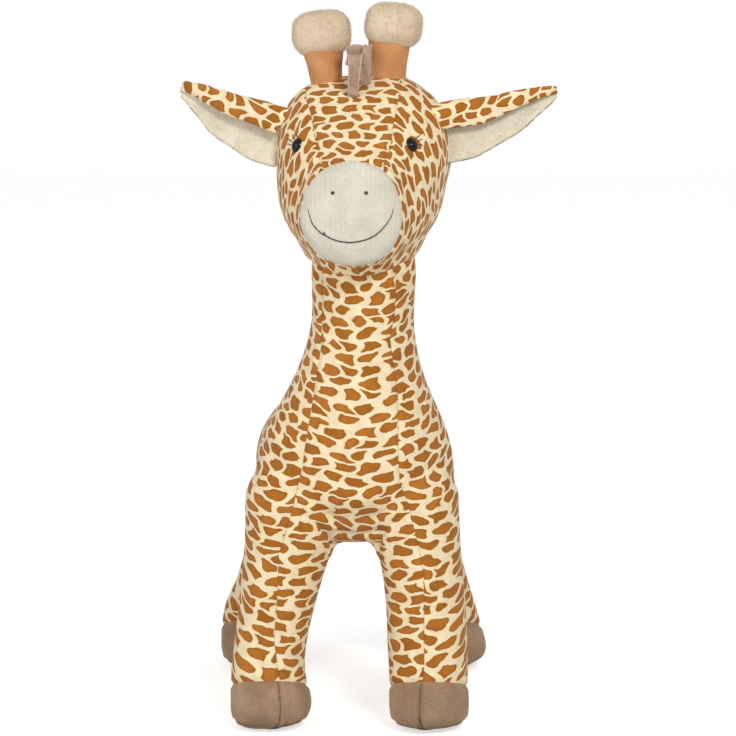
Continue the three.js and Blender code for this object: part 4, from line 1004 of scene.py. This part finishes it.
def lay_head_panels(mesh):
    """Lays out the forehead panel and the two sides in the same way."""
    x, y, z = measured(mesh).T
    right, left = seam_x(z, HEAD_RIGHT_SEAM), seam_x(z, HEAD_LEFT_SEAM)
    run = 12
    front = (x > right - run) & (x < left + run) & (z > FOREHEAD_LOW - run)
    deep = (x > right + run) & (x < left - run) & (z > FOREHEAD_LOW + run)
    from_muzzle = np.stack([0.2 * (x + 2), 0 * x, z - 468], 1)
    field = combed(mesh, from_muzzle, front & (y < -70), front)
    keep_layout(mesh, "cloth_front", laid_out(mesh, field, front) + (0.4, 0.3, 0))
    facing = normals_of(mesh)[:, 0]
    for name, side, shift in (("cloth_left", 1, (3.3, 2.7, 0)), ("cloth_right", -1, (5.9, 3.9, 0))):
        keep = ((x - HEAD_MIDDLE) * side > -run) & ~deep
        sure = keep & (facing * side > 0.72) | keep & (y < -95) & (facing * side > 0.25)
        field = combed(mesh, np.tile((0.5 * side, 1.0, 0.15), (len(x), 1)), sure, keep)
        keep_layout(mesh, name, laid_out(mesh, field, keep) + shift)


lay_head_panels(head.data)
subdivided(head)
skin_tree = tree_of(head)
for rows in (HEAD_RIGHT_SEAM, HEAD_LEFT_SEAM):
    creased(head.data, seam_path(rows, OUT_FRONT, 508, 574, 30), SEAM_DEPTH, SEAM_WIDTH, pucker=0.0002)
creased(head.data, seam_path([(500, 4), (600, 4)], OUT_FRONT, 561, 576, 8), depth=0.001, width=0.0015)
ring_crease(head.data, MUZZLE_SEAM, MUZZLE_WAY, reach=0.075, depth=0.0024, width=0.0026, swell=0.0006, puckers=44,
            pucker=0.0006)
muzzle = cut_off(head, "muzzle_velboa", MUZZLE_SEAM, MUZZLE_WAY, on_head(0, -102, 63), reach=0.08)
closed_up(head)
closed_up(muzzle)
head_print = printed_plush("printed_velour_head", head_panels, wide=15.8, tall=9.8)
finished(head, head_print, "head", "plush_print", "head_cover", "head_filling", fill=0.9)
finished(muzzle, muzzle_velboa, "head", "muzzle_fabric", "muzzle_patch", fill=0.8)


# ---- Face: muzzle stitches, safety eyes and lashes

head_tree, muzzle_tree = tree_of(head), tree_of(muzzle)


def curve_through(points, count):
    """Evenly many points on a smooth curve through a few."""
    rows = [list(p) for p in points]
    return [Vector(through(rows, k / (count - 1))) for k in range(count)]


def stitched_line(name, tree, spots, width, rise, count=60, taper=0.35, stitch=None, sides=8):
    """A line of stitches that lies on a skin, along points of the photograph: a flattened cord of thread, thinner
    at its ends, with a dip where each stitch goes in."""
    path, out = [], []
    for spot in curve_through([(*spot, 0) for spot in spots], count):
        place, normal = seen_on(tree, spot[0], spot[1])
        if place:
            path.append(place)
            out.append(normal)
    bm = bmesh.new()
    loops, run = [], 0.0
    for k, place in enumerate(path):
        ahead = (path[min(k + 1, len(path) - 1)] - path[max(k - 1, 0)]).normalized()
        side = ahead.cross(out[k]).normalized()
        if k:
            run += (place - path[k - 1]).length
        end = min(k, len(path) - 1 - k) / (len(path) * taper)
        size = 0.25 + 0.75 * min(1, end) ** 0.5
        if stitch:
            size *= 0.78 + 0.22 * abs(math.sin(math.pi * run / stitch)) ** 0.6
        ring = bmesh.ops.create_circle(bm, segments=sides, radius=1)["verts"]
        for vert in ring:
            across, up = vert.co.x * width * size / 2, (vert.co.y * 0.62 + 0.25) * rise * size
            vert.co = place + side * across + out[k] * up
        loops.append(edges_at(ring))
    bridged(bm, loops)
    bmesh.ops.recalc_face_normals(bm, faces=bm.faces)
    return from_bmesh(name, bm)


def joined(name, pieces):
    bm = bmesh.new()
    for piece in pieces:
        bm.from_mesh(piece.data)
        mesh = piece.data
        bpy.data.objects.remove(piece)
        bpy.data.meshes.remove(mesh)
    return from_bmesh(name, bm)


MOUTH = [(307.6, 208.5), (310, 217), (313.3, 225), (321.1, 233.2), (325, 235.2), (331.2, 238.6), (340.6, 241.5),
         (350.7, 242.4), (360, 241.2), (369.4, 238.3), (378, 233.2), (385.7, 225), (391.2, 216.5), (393.3, 208)]
mouth = stitched_line("mouth_stitch_thread", muzzle_tree, MOUTH, width=0.0013, rise=0.0011, count=150, taper=0.3,
                      stitch=0.0052)
knot = stitched_line("mouth_knot_thread", muzzle_tree, [(323.2, 231.8), (325.4, 235.4)], width=0.0014, rise=0.0012,
                     count=8)
finished(joined("mouth_stitch_thread", [mouth, knot]), mouth_thread, "head", "thread", "mouth_stitch")

for name, across in (("right", 332.7), ("left", 366.1)):
    stitches = []
    for step in (-1.5, -0.75, 0.0, 0.75, 1.5):
        ends = [(across + step, 190.9 + 0.5 * abs(step)), (across + step * 0.9, 195.1 - 0.5 * abs(step))]
        stitches.append(stitched_line("stitch", muzzle_tree, ends, width=0.0011, rise=0.0012, count=9, taper=0.5,
                                      sides=6))
    finished(joined(f"nostril_{name}_thread", stitches), nostril_thread, "head", "thread", f"nostril_{name}")


def safety_eye(name, spot, lashes):
    """A moulded eye: a high dome with a narrow flange that rests in the pile, and a shank behind it."""
    place, out = seen_on(head_tree, *spot)
    profile = [(0, 3.8), (2.2, 3.55), (4.1, 2.85), (5.5, 1.9), (6.3, 0.95), (6.75, 0.45), (7.0, 0.1), (6.8, -0.5),
               (3.0, -0.8), (2.3, -1.2), (2.2, -9.5), (0, -10)]
    bm = bmesh.new()
    verts = [bm.verts.new((r * MM, 0, z * MM)) for r, z in profile]
    edges = [bm.edges.new(pair) for pair in zip(verts, verts[1:])]
    bmesh.ops.spin(bm, geom=verts + edges, axis=(0, 0, 1), cent=(0, 0, 0), steps=40, angle=math.tau, use_merge=True)
    bmesh.ops.remove_doubles(bm, verts=bm.verts, dist=1e-6)
    bmesh.ops.recalc_face_normals(bm, faces=bm.faces)
    turn = out.to_track_quat("Z", "Y").to_matrix()
    for vert in bm.verts:
        vert.co = place + turn @ Vector((vert.co.x * 0.84, vert.co.y, vert.co.z - 0.0004))
    eye = from_bmesh(f"eye_{name}_plastic", bm)
    subdivided(eye)
    finished(eye, eye_plastic, "head", "eye_plastic", f"eye_{name}")
    strands = [stitched_line("lash", head_tree, path, width=0.0013, rise=0.0009, count=14, taper=0.7, sides=6)
               for path in lashes]
    finished(joined(f"eyelashes_{name}_thread", strands), lash_thread, "head", "thread", f"eyelashes_{name}")


safety_eye("right", (296.6, 145.2), (
    [(293.2, 142.6), (290.2, 140.2), (287.2, 139.0)], [(293.0, 145.6), (289.6, 144.4), (286.6, 143.8)],
    [(295.2, 139.8), (293.4, 137.2), (292.2, 134.6)], [(297.6, 138.8), (297.0, 135.6), (295.8, 132.6)]))
safety_eye("left", (412.0, 144.6), (
    [(414.6, 139.4), (417.4, 137.0), (420.2, 135.4)], [(416.4, 142.0), (419.4, 140.4), (422.6, 139.0)],
    [(416.8, 144.8), (420.0, 144.8), (423.2, 145.4)]))
for name in ("left", "right"):
    # The locking washer behind the eye keeps its moulded shape.
    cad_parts[f"eye_washer_{name}"].material_slots[0].material = washer_plastic

# ---- Ears: a printed leaf with a cream lining, folded over along its top

# In the photograph, from tip to root: the fold along the ear's top, its lower edge, and the edge of the flap.
RIGHT_EAR = ([(183, 82), (188.6, 81.2), (209.5, 86), (239.2, 94.9), (263.2, 100.5), (290.5, 108.5)],
             [(180.6, 96.5), (200.5, 120.5), (211.5, 134.2), (229.2, 146.2), (250.4, 160), (276, 168)],
             [(179.8, 91.7), (191, 94), (213.5, 107.7), (233.5, 117.3), (251.2, 122.9), (276, 134.2)])
LEFT_EAR = ([(556.9, 87), (548.6, 85.8), (512.9, 90.7), (492.2, 95.7), (459, 99), (425, 106)],
            [(556.8, 99), (537, 117), (520, 132), (492.5, 148.3), (472.5, 158.5), (434, 166)],
            [(557.5, 94), (545, 96.5), (520, 106.5), (500, 116), (477, 124.5), (432, 130)])


def distance_to_rim(mesh):
    """Each point's distance to the open edge of its sheet."""
    bm = bmesh.new()
    bm.from_mesh(mesh)
    rim = [v.co.copy() for v in bm.verts if v.is_boundary]
    bm.free()
    tree = KDTree(len(rim))
    for k, place in enumerate(rim):
        tree.insert(place, k)
    tree.balance()
    return np.array([tree.find(v.co)[2] for v in mesh.vertices])


def ear(name, outline, y_tip, y_base, shift):
    """The ear's leaf from tip to base. Each section runs from the flap's edge in front, up over the fold, and down
    the back to the lower edge; the lining lies inside it."""
    stations, columns, stretches = 30, 20, {}
    bm = bmesh.new()
    made = bmesh.ops.create_grid(bm, x_segments=stations, y_segments=columns, size=1)["verts"]
    for vert in made:
        along, share = (vert.co.x + 1) / 2, (vert.co.y + 1) / 2
        y = blended(y_tip, y_base, along)
        top, low, flap = (seen_at(*through(rows, along)[:2], y) / MM - STANCE for rows in outline)
        roll = blended(1.4, 8.0, min(1, along * 1.8) ** 0.7)
        sections = [(flap.x, y - 0.75 * roll, flap.z),
                    (blended(flap.x, top.x, 0.5), y - 1.1 * roll, blended(flap.z, top.z, 0.5)),
                    (top.x, y - 0.8 * roll, blended(flap.z, top.z, 0.93)),
                    (top.x, y, top.z),
                    (top.x, y + 0.85 * roll, blended(low.z, top.z, 0.93)),
                    (blended(low.x, top.x, 0.62), y + 1.2 * roll, blended(low.z, top.z, 0.62)),
                    (blended(low.x, top.x, 0.28), y + 0.9 * roll, blended(low.z, top.z, 0.28)),
                    (low.x, y, low.z)]
        vert.co = (Vector(through(sections, share)) + STANCE) * MM
        stretches.setdefault(("across", round(along * stations)), []).append((share, vert.co.copy()))
        stretches.setdefault(("along", round(share * columns)), []).append((along, vert.co.copy()))
    lengths = {"across": 0.0, "along": 0.0}
    for (way, _), line in stretches.items():
        line = [place for _, place in sorted(line, key=lambda step: step[0])]
        lengths[way] = max(lengths[way], sum((b - a).length for a, b in zip(line, line[1:])))
    leaf = from_bmesh(f"ear_{name}_plush", bm)
    subdivided(leaf)
    points, normals = points_of(leaf.data), normals_of(leaf.data)
    behind = points[:, 1] > np.median(points[:, 1])
    outwards = 1 if normals[behind, 1].mean() > 0 else -1
    lining = link(f"ear_{name}_lining_fleece", leaf.data.copy())
    slope = 0.25 if name == "right" else -0.25
    up = np.tile((slope, 0.0, 1.0), (len(points), 1)) * np.where(behind, -1, 1)[:, None]
    keep_layout(leaf.data, "cloth_front", laid_out(leaf.data, up, np.ones(len(points), bool)) + shift)
    lumps = np.array([noise.noise(Vector(p) * 150) for p in points])[:, None]
    inner = np.clip(distance_to_rim(leaf.data) / 0.003, 0, 1)[:, None]
    set_points(leaf.data, points + normals * outwards * 0.0006 * lumps)
    set_points(lining.data, points - normals * outwards * (0.0012 + inner * (0.0009 + 0.0007 * lumps)))
    for piece, thickness in ((leaf, 0.0016), (lining, 0.0018)):
        thickened(piece, thickness, offset=-outwards)
        turned_outwards(piece)
    finished(leaf, ear_print, f"ear_{name}", "plush_print", f"ear_outer_{name}")
    finished(lining, lining_fleece, f"ear_{name}", "cream_plush", f"ear_lining_{name}")


ear_print = printed_plush("printed_velour_ear", one_panel, wide=10.8, tall=9.8)
ear("right", RIGHT_EAR, -27, -45, (0.2, 0.1, 0))
ear("left", LEFT_EAR, -52, -60, (0.5, 0.6, 0))

# ---- Horns: a stuffed suede stem with a fleece knob

# The stem's rows from the crown up, the middle of the knob, its half width, depth and height, and its lean.
HORNS = {
    "right": ([(-22.4, -37, 560, 13.6, 13, 0, 2, 2), (-23.8, -37, 578, 14.4, 13.6, 0, 2, 2),
               (-25.4, -37, 590, 15.8, 15, 0, 2, 2), (-27.4, -37, 603, 17.8, 16.6, 0, 2, 2),
               (-28, -37, 612, 18.4, 17, 0, 2, 2)], (-28.8, -36.6, 622.0), (26.0, 21.4, 20.3), -0.1),
    "left": ([(30.2, -42.6, 560, 15, 14, 0, 2, 2), (30.5, -42.6, 578, 15.8, 14.6, 0, 2, 2),
              (31, -42.8, 592, 16.8, 15.6, 0, 2, 2), (31.9, -43, 606, 18, 16.8, 0, 2, 2),
              (32.4, -43, 618, 18.4, 17, 0, 2, 2)], (36.0, -43.1, 629.1), (25.2, 21.4, 20.1), 0.09),
}


def horn(name, rows, middle, half, tilt, seed):
    """Finishes a horn's stem and gives the shape of its knob."""
    bm = bmesh.new()
    stuffed_form(bm, rows, 4, 4, axis=Vector((0, 0, 1)), sides=48, rings=22, dome_rings=3)
    bmesh.ops.recalc_face_normals(bm, faces=bm.faces)
    stem = from_bmesh(f"horn_{name}_suede", bm)
    subdivided(stem)
    points, normals = points_of(stem.data), normals_of(stem.data)
    x, y, z = measured(stem.data).T
    turn = np.arctan2(y - rows[1][1], x - rows[1][0])
    # Gathers where the stem is sewn into the crown, and a slack fold or two further up.
    low = np.exp(-np.clip(z - 574, 0, 99) / 9)
    gather = low * (0.5 * np.sin(9 * turn + seed) + 0.35 * np.sin(15 * turn + 2 * seed))
    slack = 0.45 * np.sin(2.2 * turn + 0.16 * (z - 580) + seed) + 0.3 * np.sin(5 * turn - 0.21 * (z - 580))
    set_points(stem.data, points + normals * ((gather + slack) * MM)[:, None])
    seam = [here(x - 0.2 * wide, y + deep, z) for x, y, z, wide, deep, *_ in rows]
    creased(stem.data, seam, depth=0.0009, width=0.0015)
    finished(stem, horn_suede, f"horn_{name}", "horn_suede", f"horn_stem_{name}", fill=0.8)

    bm = bmesh.new()
    bmesh.ops.create_icosphere(bm, subdivisions=6, radius=1)
    lean = Matrix.Rotation(tilt, 3, "Y")
    for vert in bm.verts:
        way = vert.co.normalized()
        full = (abs(way.x) ** 2.85 + abs(way.y) ** 2.4 + abs(way.z) ** 2.85) ** (-1 / 2.6)
        lump = 0.030 * noise.noise(way * 2.1 + Vector((seed, 0, 0)))
        lump += 0.014 * noise.noise(way * 6 + Vector((0, seed, 0)))
        size = Vector((half[0], half[1], half[2] * (0.985 if way.z > 0 else 1.0)))
        vert.co = here(*middle) + lean @ Vector([w * full * s * MM * (1 + lump) for w, s in zip(way, size)])
    return from_bmesh(f"knob_{name}_fleece", bm)


def dimpled(mesh, place, depth, width):
    """Presses a soft dimple into the skin."""
    points, normals = points_of(mesh), normals_of(mesh)
    gap = np.linalg.norm(points - np.array(place), axis=1)
    set_points(mesh, points - normals * (depth * np.exp(-((gap / width) ** 2)))[:, None])


def fuzzed(piece, count, length, seed):
    """Adds loose fibres of the fleece, which soften its outline."""
    points, normals = points_of(piece.data), normals_of(piece.data)
    pick = np.random.default_rng(seed)
    chosen = pick.choice(len(points), count, replace=False)
    tufts = []
    for start in range(0, count, 60):
        bm = bmesh.new()
        for k in chosen[start : start + 60]:
            way = Vector(normals[k] + pick.normal(0, 0.45, 3)).normalized()
            reach = length * pick.uniform(0.5, 1.2)
            place = Vector(points[k]) + way * (reach / 2 - 0.0003)
            matrix = Matrix.Translation(place) @ way.to_track_quat("Z", "Y").to_matrix().to_4x4()
            bmesh.ops.create_cone(bm, segments=3, radius1=0.00016, radius2=0.00003, depth=reach, cap_ends=True,
                                  matrix=matrix)
        tufts.append(from_bmesh("fibres", bm))
    return joined("fibres", tufts)


for name, (rows, middle, half, tilt) in HORNS.items():
    seed = 3 if name == "right" else 8
    knob = horn(name, rows, middle, half, tilt, seed)
    tree = tree_of(knob)
    if name == "left":
        place, _ = seen_on(tree, 404, 20)
        dimpled(knob.data, place, depth=0.0022, width=0.006)
        spots, depth, width = ((391, 24), (397, 28), (404, 29.5), (411, 28)), 0.0009, 0.002
    else:
        spots, depth, width = ((301, 28), (307, 31), (314, 30)), 0.0007, 0.0025
    creased(knob.data, [seen_on(tree, *spot)[0] for spot in spots], depth, width)
    fibres = fuzzed(knob, count=4200, length=0.0019, seed=seed)
    knob_piece = joined(f"knob_{name}_fleece", [knob, fibres])
    finished(knob_piece, knob_fleece, f"horn_{name}", "cream_plush", f"horn_knob_{name}", fill=0.9)

# ---- Ribbons: forelock, manes and tail tuft


def ribbon(path, across, width, thickness=0.0007, curl=0.08, count=28, columns=6, pinch=1.0):
    """A strip of ribbon along a path, its width along across (one vector, or one for each point of the path). It
    may be pinched where it starts."""
    line = curve_through(path, count)
    sides = curve_through(across, count) if isinstance(across, list) else [across] * count
    bm = bmesh.new()
    layer = bm.verts.layers.float_vector.new("cloth_front")
    made = bmesh.ops.create_grid(bm, x_segments=count - 1, y_segments=columns, size=1)["verts"]
    run = [0.0]
    for a, b in zip(line, line[1:]):
        run.append(run[-1] + (b - a).length * MM)
    for vert in made:
        k = round((vert.co.x + 1) / 2 * (count - 1))
        share = vert.co.y
        ahead = (line[min(k + 1, count - 1)] - line[max(k - 1, 0)]).normalized()
        side = (sides[k] - ahead * sides[k].dot(ahead)).normalized()
        face = ahead.cross(side)
        vert[layer] = (share, run[k], 0)
        gathered = 1 - (1 - pinch) * (1 - k / (count - 1))
        place = line[k] + side * (share * width / 2 * gathered) - face * (curl * width * share * share)
        vert.co = (place + STANCE) * MM
    piece = from_bmesh("ribbon", bm)
    thickened(piece, thickness, offset=0)
    turned_outwards(piece)
    return piece


def in_photo(*spots):
    """Places in the photograph, each with its y, in measured millimetres."""
    return [seen_at(*spot) / MM - STANCE for spot in spots]


# The forelock: a strip that comes down over the brow from an open curl, and a loop behind it, turned away.
strip = in_photo((353, 96, -75), (353.6, 84, -79), (354.6, 70, -80), (355.2, 60, -78.5), (355.4, 55, -75))
curl = in_photo((350, 62, -76.5), (347.4, 58, -73), (348.4, 52.5, -67), (355.5, 49.5, -63), (362.5, 51.5, -66),
                (364, 57, -72), (361, 61, -76))
back_loop = in_photo((364.5, 86, -64), (365, 74, -69.5), (366, 59, -71), (366.8, 49.5, -70), (367.6, 45.6, -68),
                     (368.2, 49.5, -66), (367.6, 64, -66), (366.6, 84, -63))
forelock = [ribbon(strip, Vector((1, -0.1, 0)), width=13.5, curl=0.14, pinch=0.62),
            ribbon(curl, Vector((0, 0.2, 1)), width=9.5, curl=0.03, count=40),
            ribbon(back_loop, Vector((0.92, 0.4, 0)), width=7.4, curl=0.01, count=40)]
finished(joined("forelock_ribbon", forelock), ribbon_velvet, "head", "ribbon", "forelock")


def mane(name, tree, spots, height, width, seed):
    """A row of ribbon loops on their tape. spots are measured places and the way out from each."""
    pieces, tape = [], []
    for k, (place, out) in enumerate(spots):
        near, normal, *_ = tree.ray_cast(here(*place) + Vector(out) * 0.12, -Vector(out))
        if not near:
            continue
        base = near / MM - STANCE
        normal = Vector(normal)
        tape.append(base + normal * 0.9)
        along = Vector((1, 0, 0)).cross(normal).normalized()
        tall = height * (1 + 0.07 * math.sin(5.3 * k + seed))
        swing = 1.6 * math.sin(3.1 * k + seed)
        loop = [(-3.2, -1.5), (-4.4, tall * 0.45), (-3.4, tall * 0.86), (0.4 + swing, tall), (3.9, tall * 0.84),
                (4.4, tall * 0.42), (3.0, -1.5)]
        path = [base + along * ahead + normal * rise for ahead, rise in loop]
        side = Vector((1, 0.28 * math.sin(2.3 * k + seed), 0.28 * math.cos(1.7 * k + seed)))
        pieces.append(ribbon(path, side, width, count=24, columns=4))
    if len(tape) > 2:
        pieces.append(ribbon(tape, Vector((1, 0, 0)), width * 0.9, thickness=0.0012, curl=0.02, count=30, columns=4))
    return joined(name, pieces)


# The crown's mane runs from behind the horns down the back of the head, and the neck's from there to the back.
crown = on_head(0, 10, 97) / MM - STANCE
crown_spots = []
for k in range(10):
    turn = math.radians(9.6 * (k + 0.8))
    out = HEAD_TURN @ Vector((0, math.sin(turn), math.cos(turn)))
    crown_spots.append((tuple(crown), tuple(out)))
crown_mane = mane("crown_mane_ribbon", head_tree, crown_spots, height=24, width=9.0, seed=1)
finished(crown_mane, ribbon_velvet, "head", "ribbon", "crown_mane")
neck_spots = [((8 * (z - 216) / 189, -45, z), (0, 1, 0)) for z in np.linspace(392, 313, 11)]
neck_mane = mane("neck_mane_ribbon", tree_of(trunk), neck_spots, height=23, width=8.6, seed=4)
finished(neck_mane, ribbon_velvet, "torso", "ribbon", "neck_mane")

# ---- Tail: a thin printed tube with a bunch of ribbon ends

# Its root is sewn flat into the back's seam.
TAIL_ROWS = [(0, 136.5, 257.5, 8.4, 6.6, 0, 2, 2), (0.3, 147.5, 247, 8.6, 8.2, 0, 2, 2),
             (0.6, 155, 229, 8.2, 8.2, 0, 2, 2), (0.2, 160.5, 205, 7.4, 7.4, 0, 2, 2),
             (-0.8, 162.8, 182, 6.6, 6.6, 0, 2, 2), (0, 163.8, 160, 5.6, 5.6, 0, 2, 2)]
bm = bmesh.new()
stuffed_form(bm, TAIL_ROWS, 4, 3, sides=28, rings=34, dome_rings=5)
bmesh.ops.recalc_face_normals(bm, faces=bm.faces)
tail = from_bmesh("tail_plush", bm)
subdivided(tail)
points, normals = points_of(tail.data), normals_of(tail.data)
lumps = np.array([noise.noise(Vector(p) * 90) for p in points])[:, None]
set_points(tail.data, points + normals * 0.0007 * lumps)
x, y, z = measured(tail.data).T
upwards = TAIL_ROWS[::-1]
middle_x, middle_y = (np.interp(z, [row[2] for row in upwards], [row[k] for row in upwards]) for k in (0, 1))
turn = np.arctan2(middle_y - y, middle_x - x)
keep_layout(tail.data, "cloth_front", np.stack([turn * 7.4 * MM, z * MM, 0 * z], 1))
creased(tail.data, [here(x + r, y, z) for x, y, z, r, *_ in TAIL_ROWS], depth=0.0007, width=0.0013)
tail_print = printed_plush("printed_velour_tail", one_panel, wide=16.5, tall=11)
finished(tail, tail_print, None, "plush_print", "tail_cover", fill=0.7)
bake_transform(tail)
# The tuft: ribbon ends that hang from the tip in a bunch and spread a little.
strips = []
for k in range(7):
    turn = k / 7 * math.tau + 0.4
    way = Vector((math.cos(turn), math.sin(turn), 0))
    side = Vector((-way.y, way.x, 0))
    drop = 30 + 4 * math.sin(3.7 * k)
    start = Vector((0, 163.8, 163)) + way * 2.6
    steps = ((0, 0), (2.8, 7), (4.2 + math.sin(2.1 * k), 0.6 * drop), (5.4 + 1.6 * math.sin(2.9 * k), drop))
    path = [start + way * out + Vector((0, 0, -down)) for out, down in steps]
    sides = [side, (side + way * 0.3).normalized(), (side - way * 0.35).normalized()]
    strips.append(ribbon(path, sides, width=8.5, count=20, columns=4))
# The ribbons are gathered by a few turns of thread.
bm = bmesh.new()
for k in range(4):
    made = []
    for step in range(25):
        turn = step / 24 * math.tau
        place = here(6.1 * math.cos(turn), 163.8 + 6.1 * math.sin(turn), 160.5 - 1.1 * k)
        ring = bmesh.ops.create_circle(bm, segments=6, radius=0.0006)["verts"]
        matrix = Matrix.Translation(place) @ Matrix.Rotation(turn, 4, "Z") @ Matrix.Rotation(math.pi / 2, 4, "X")
        bmesh.ops.transform(bm, matrix=matrix, verts=ring)
        made.append(edges_at(ring))
    for first, second in zip(made, made[1:]):
        bmesh.ops.bridge_loops(bm, edges=first + second)
bmesh.ops.remove_doubles(bm, verts=bm.verts, dist=1e-6)
bmesh.ops.recalc_face_normals(bm, faces=bm.faces)
binding = from_bmesh("tail_binding_thread", bm)
finished(joined("tail_tuft_ribbon", strips), ribbon_velvet, "tail", "ribbon", "tail_tuft")
finished(binding, lash_thread, "tail", "thread")


# ---- Floor, backdrop and light


def seen_white(tree, extra):
    """Light that only the camera, mirrors and glass see, so that the paper looks white and lights nothing."""
    rays = add_node(tree, "LightPath").node.outputs
    seen = add_node(tree, "Math", rays["Is Camera Ray"], rays["Is Glossy Ray"], operation="MAXIMUM")
    seen = add_node(tree, "Math", seen, rays["Is Transmission Ray"], operation="MAXIMUM")
    return add_node(tree, "Math", seen, extra, operation="MULTIPLY")


bm = bmesh.new()
bmesh.ops.create_grid(bm, x_segments=1, y_segments=1, size=7)
floor = from_bmesh("floor", bm)
# White paper: matt, with a soft shadow under the toy.
paper, tree, shader = new_material("backdrop_paper", Base_Color="#ececec", Roughness=0.95,
                                   Specular_IOR_Level=0.05, Emission_Color="#ffffff")
feed(shader.inputs["Emission Strength"], seen_white(tree, 0.6))
floor.data.materials.append(paper)

world = bpy.data.worlds.new("studio")
scene.world = world
world.use_nodes = True
tree = world.node_tree
background = tree.nodes["Background"]
feed(background.inputs["Color"], "#ffffff")
feed(background.inputs["Strength"], add_node(tree, "Math", seen_white(tree, 0.56), 0.44, operation="ADD"))


def softbox(name, place, aim, size, power):
    """A square lamp turned towards a place; its size in metres and its power in watts."""
    lamp = bpy.data.lights.new(name, "AREA")
    lamp.shape = "RECTANGLE"
    lamp.size = lamp.size_y = size
    lamp.energy = power
    holder = bpy.data.objects.new(name, lamp)
    scene.collection.objects.link(holder)
    holder.location = place
    holder.rotation_euler = (Vector(aim) - Vector(place)).to_track_quat("-Z", "Y").to_euler()


# The key light stands high on the toy's left, and a wide weak one opens the shadows on its right.
softbox("key_softbox", (0.8, -2.2, 1.8), aim=(0, 0, 0.3), size=0.6, power=31)
softbox("fill_softbox", (-1.7, -1.7, 1.2), aim=(0, 0, 0.3), size=1.4, power=17)
scene.view_settings.view_transform = "Standard"
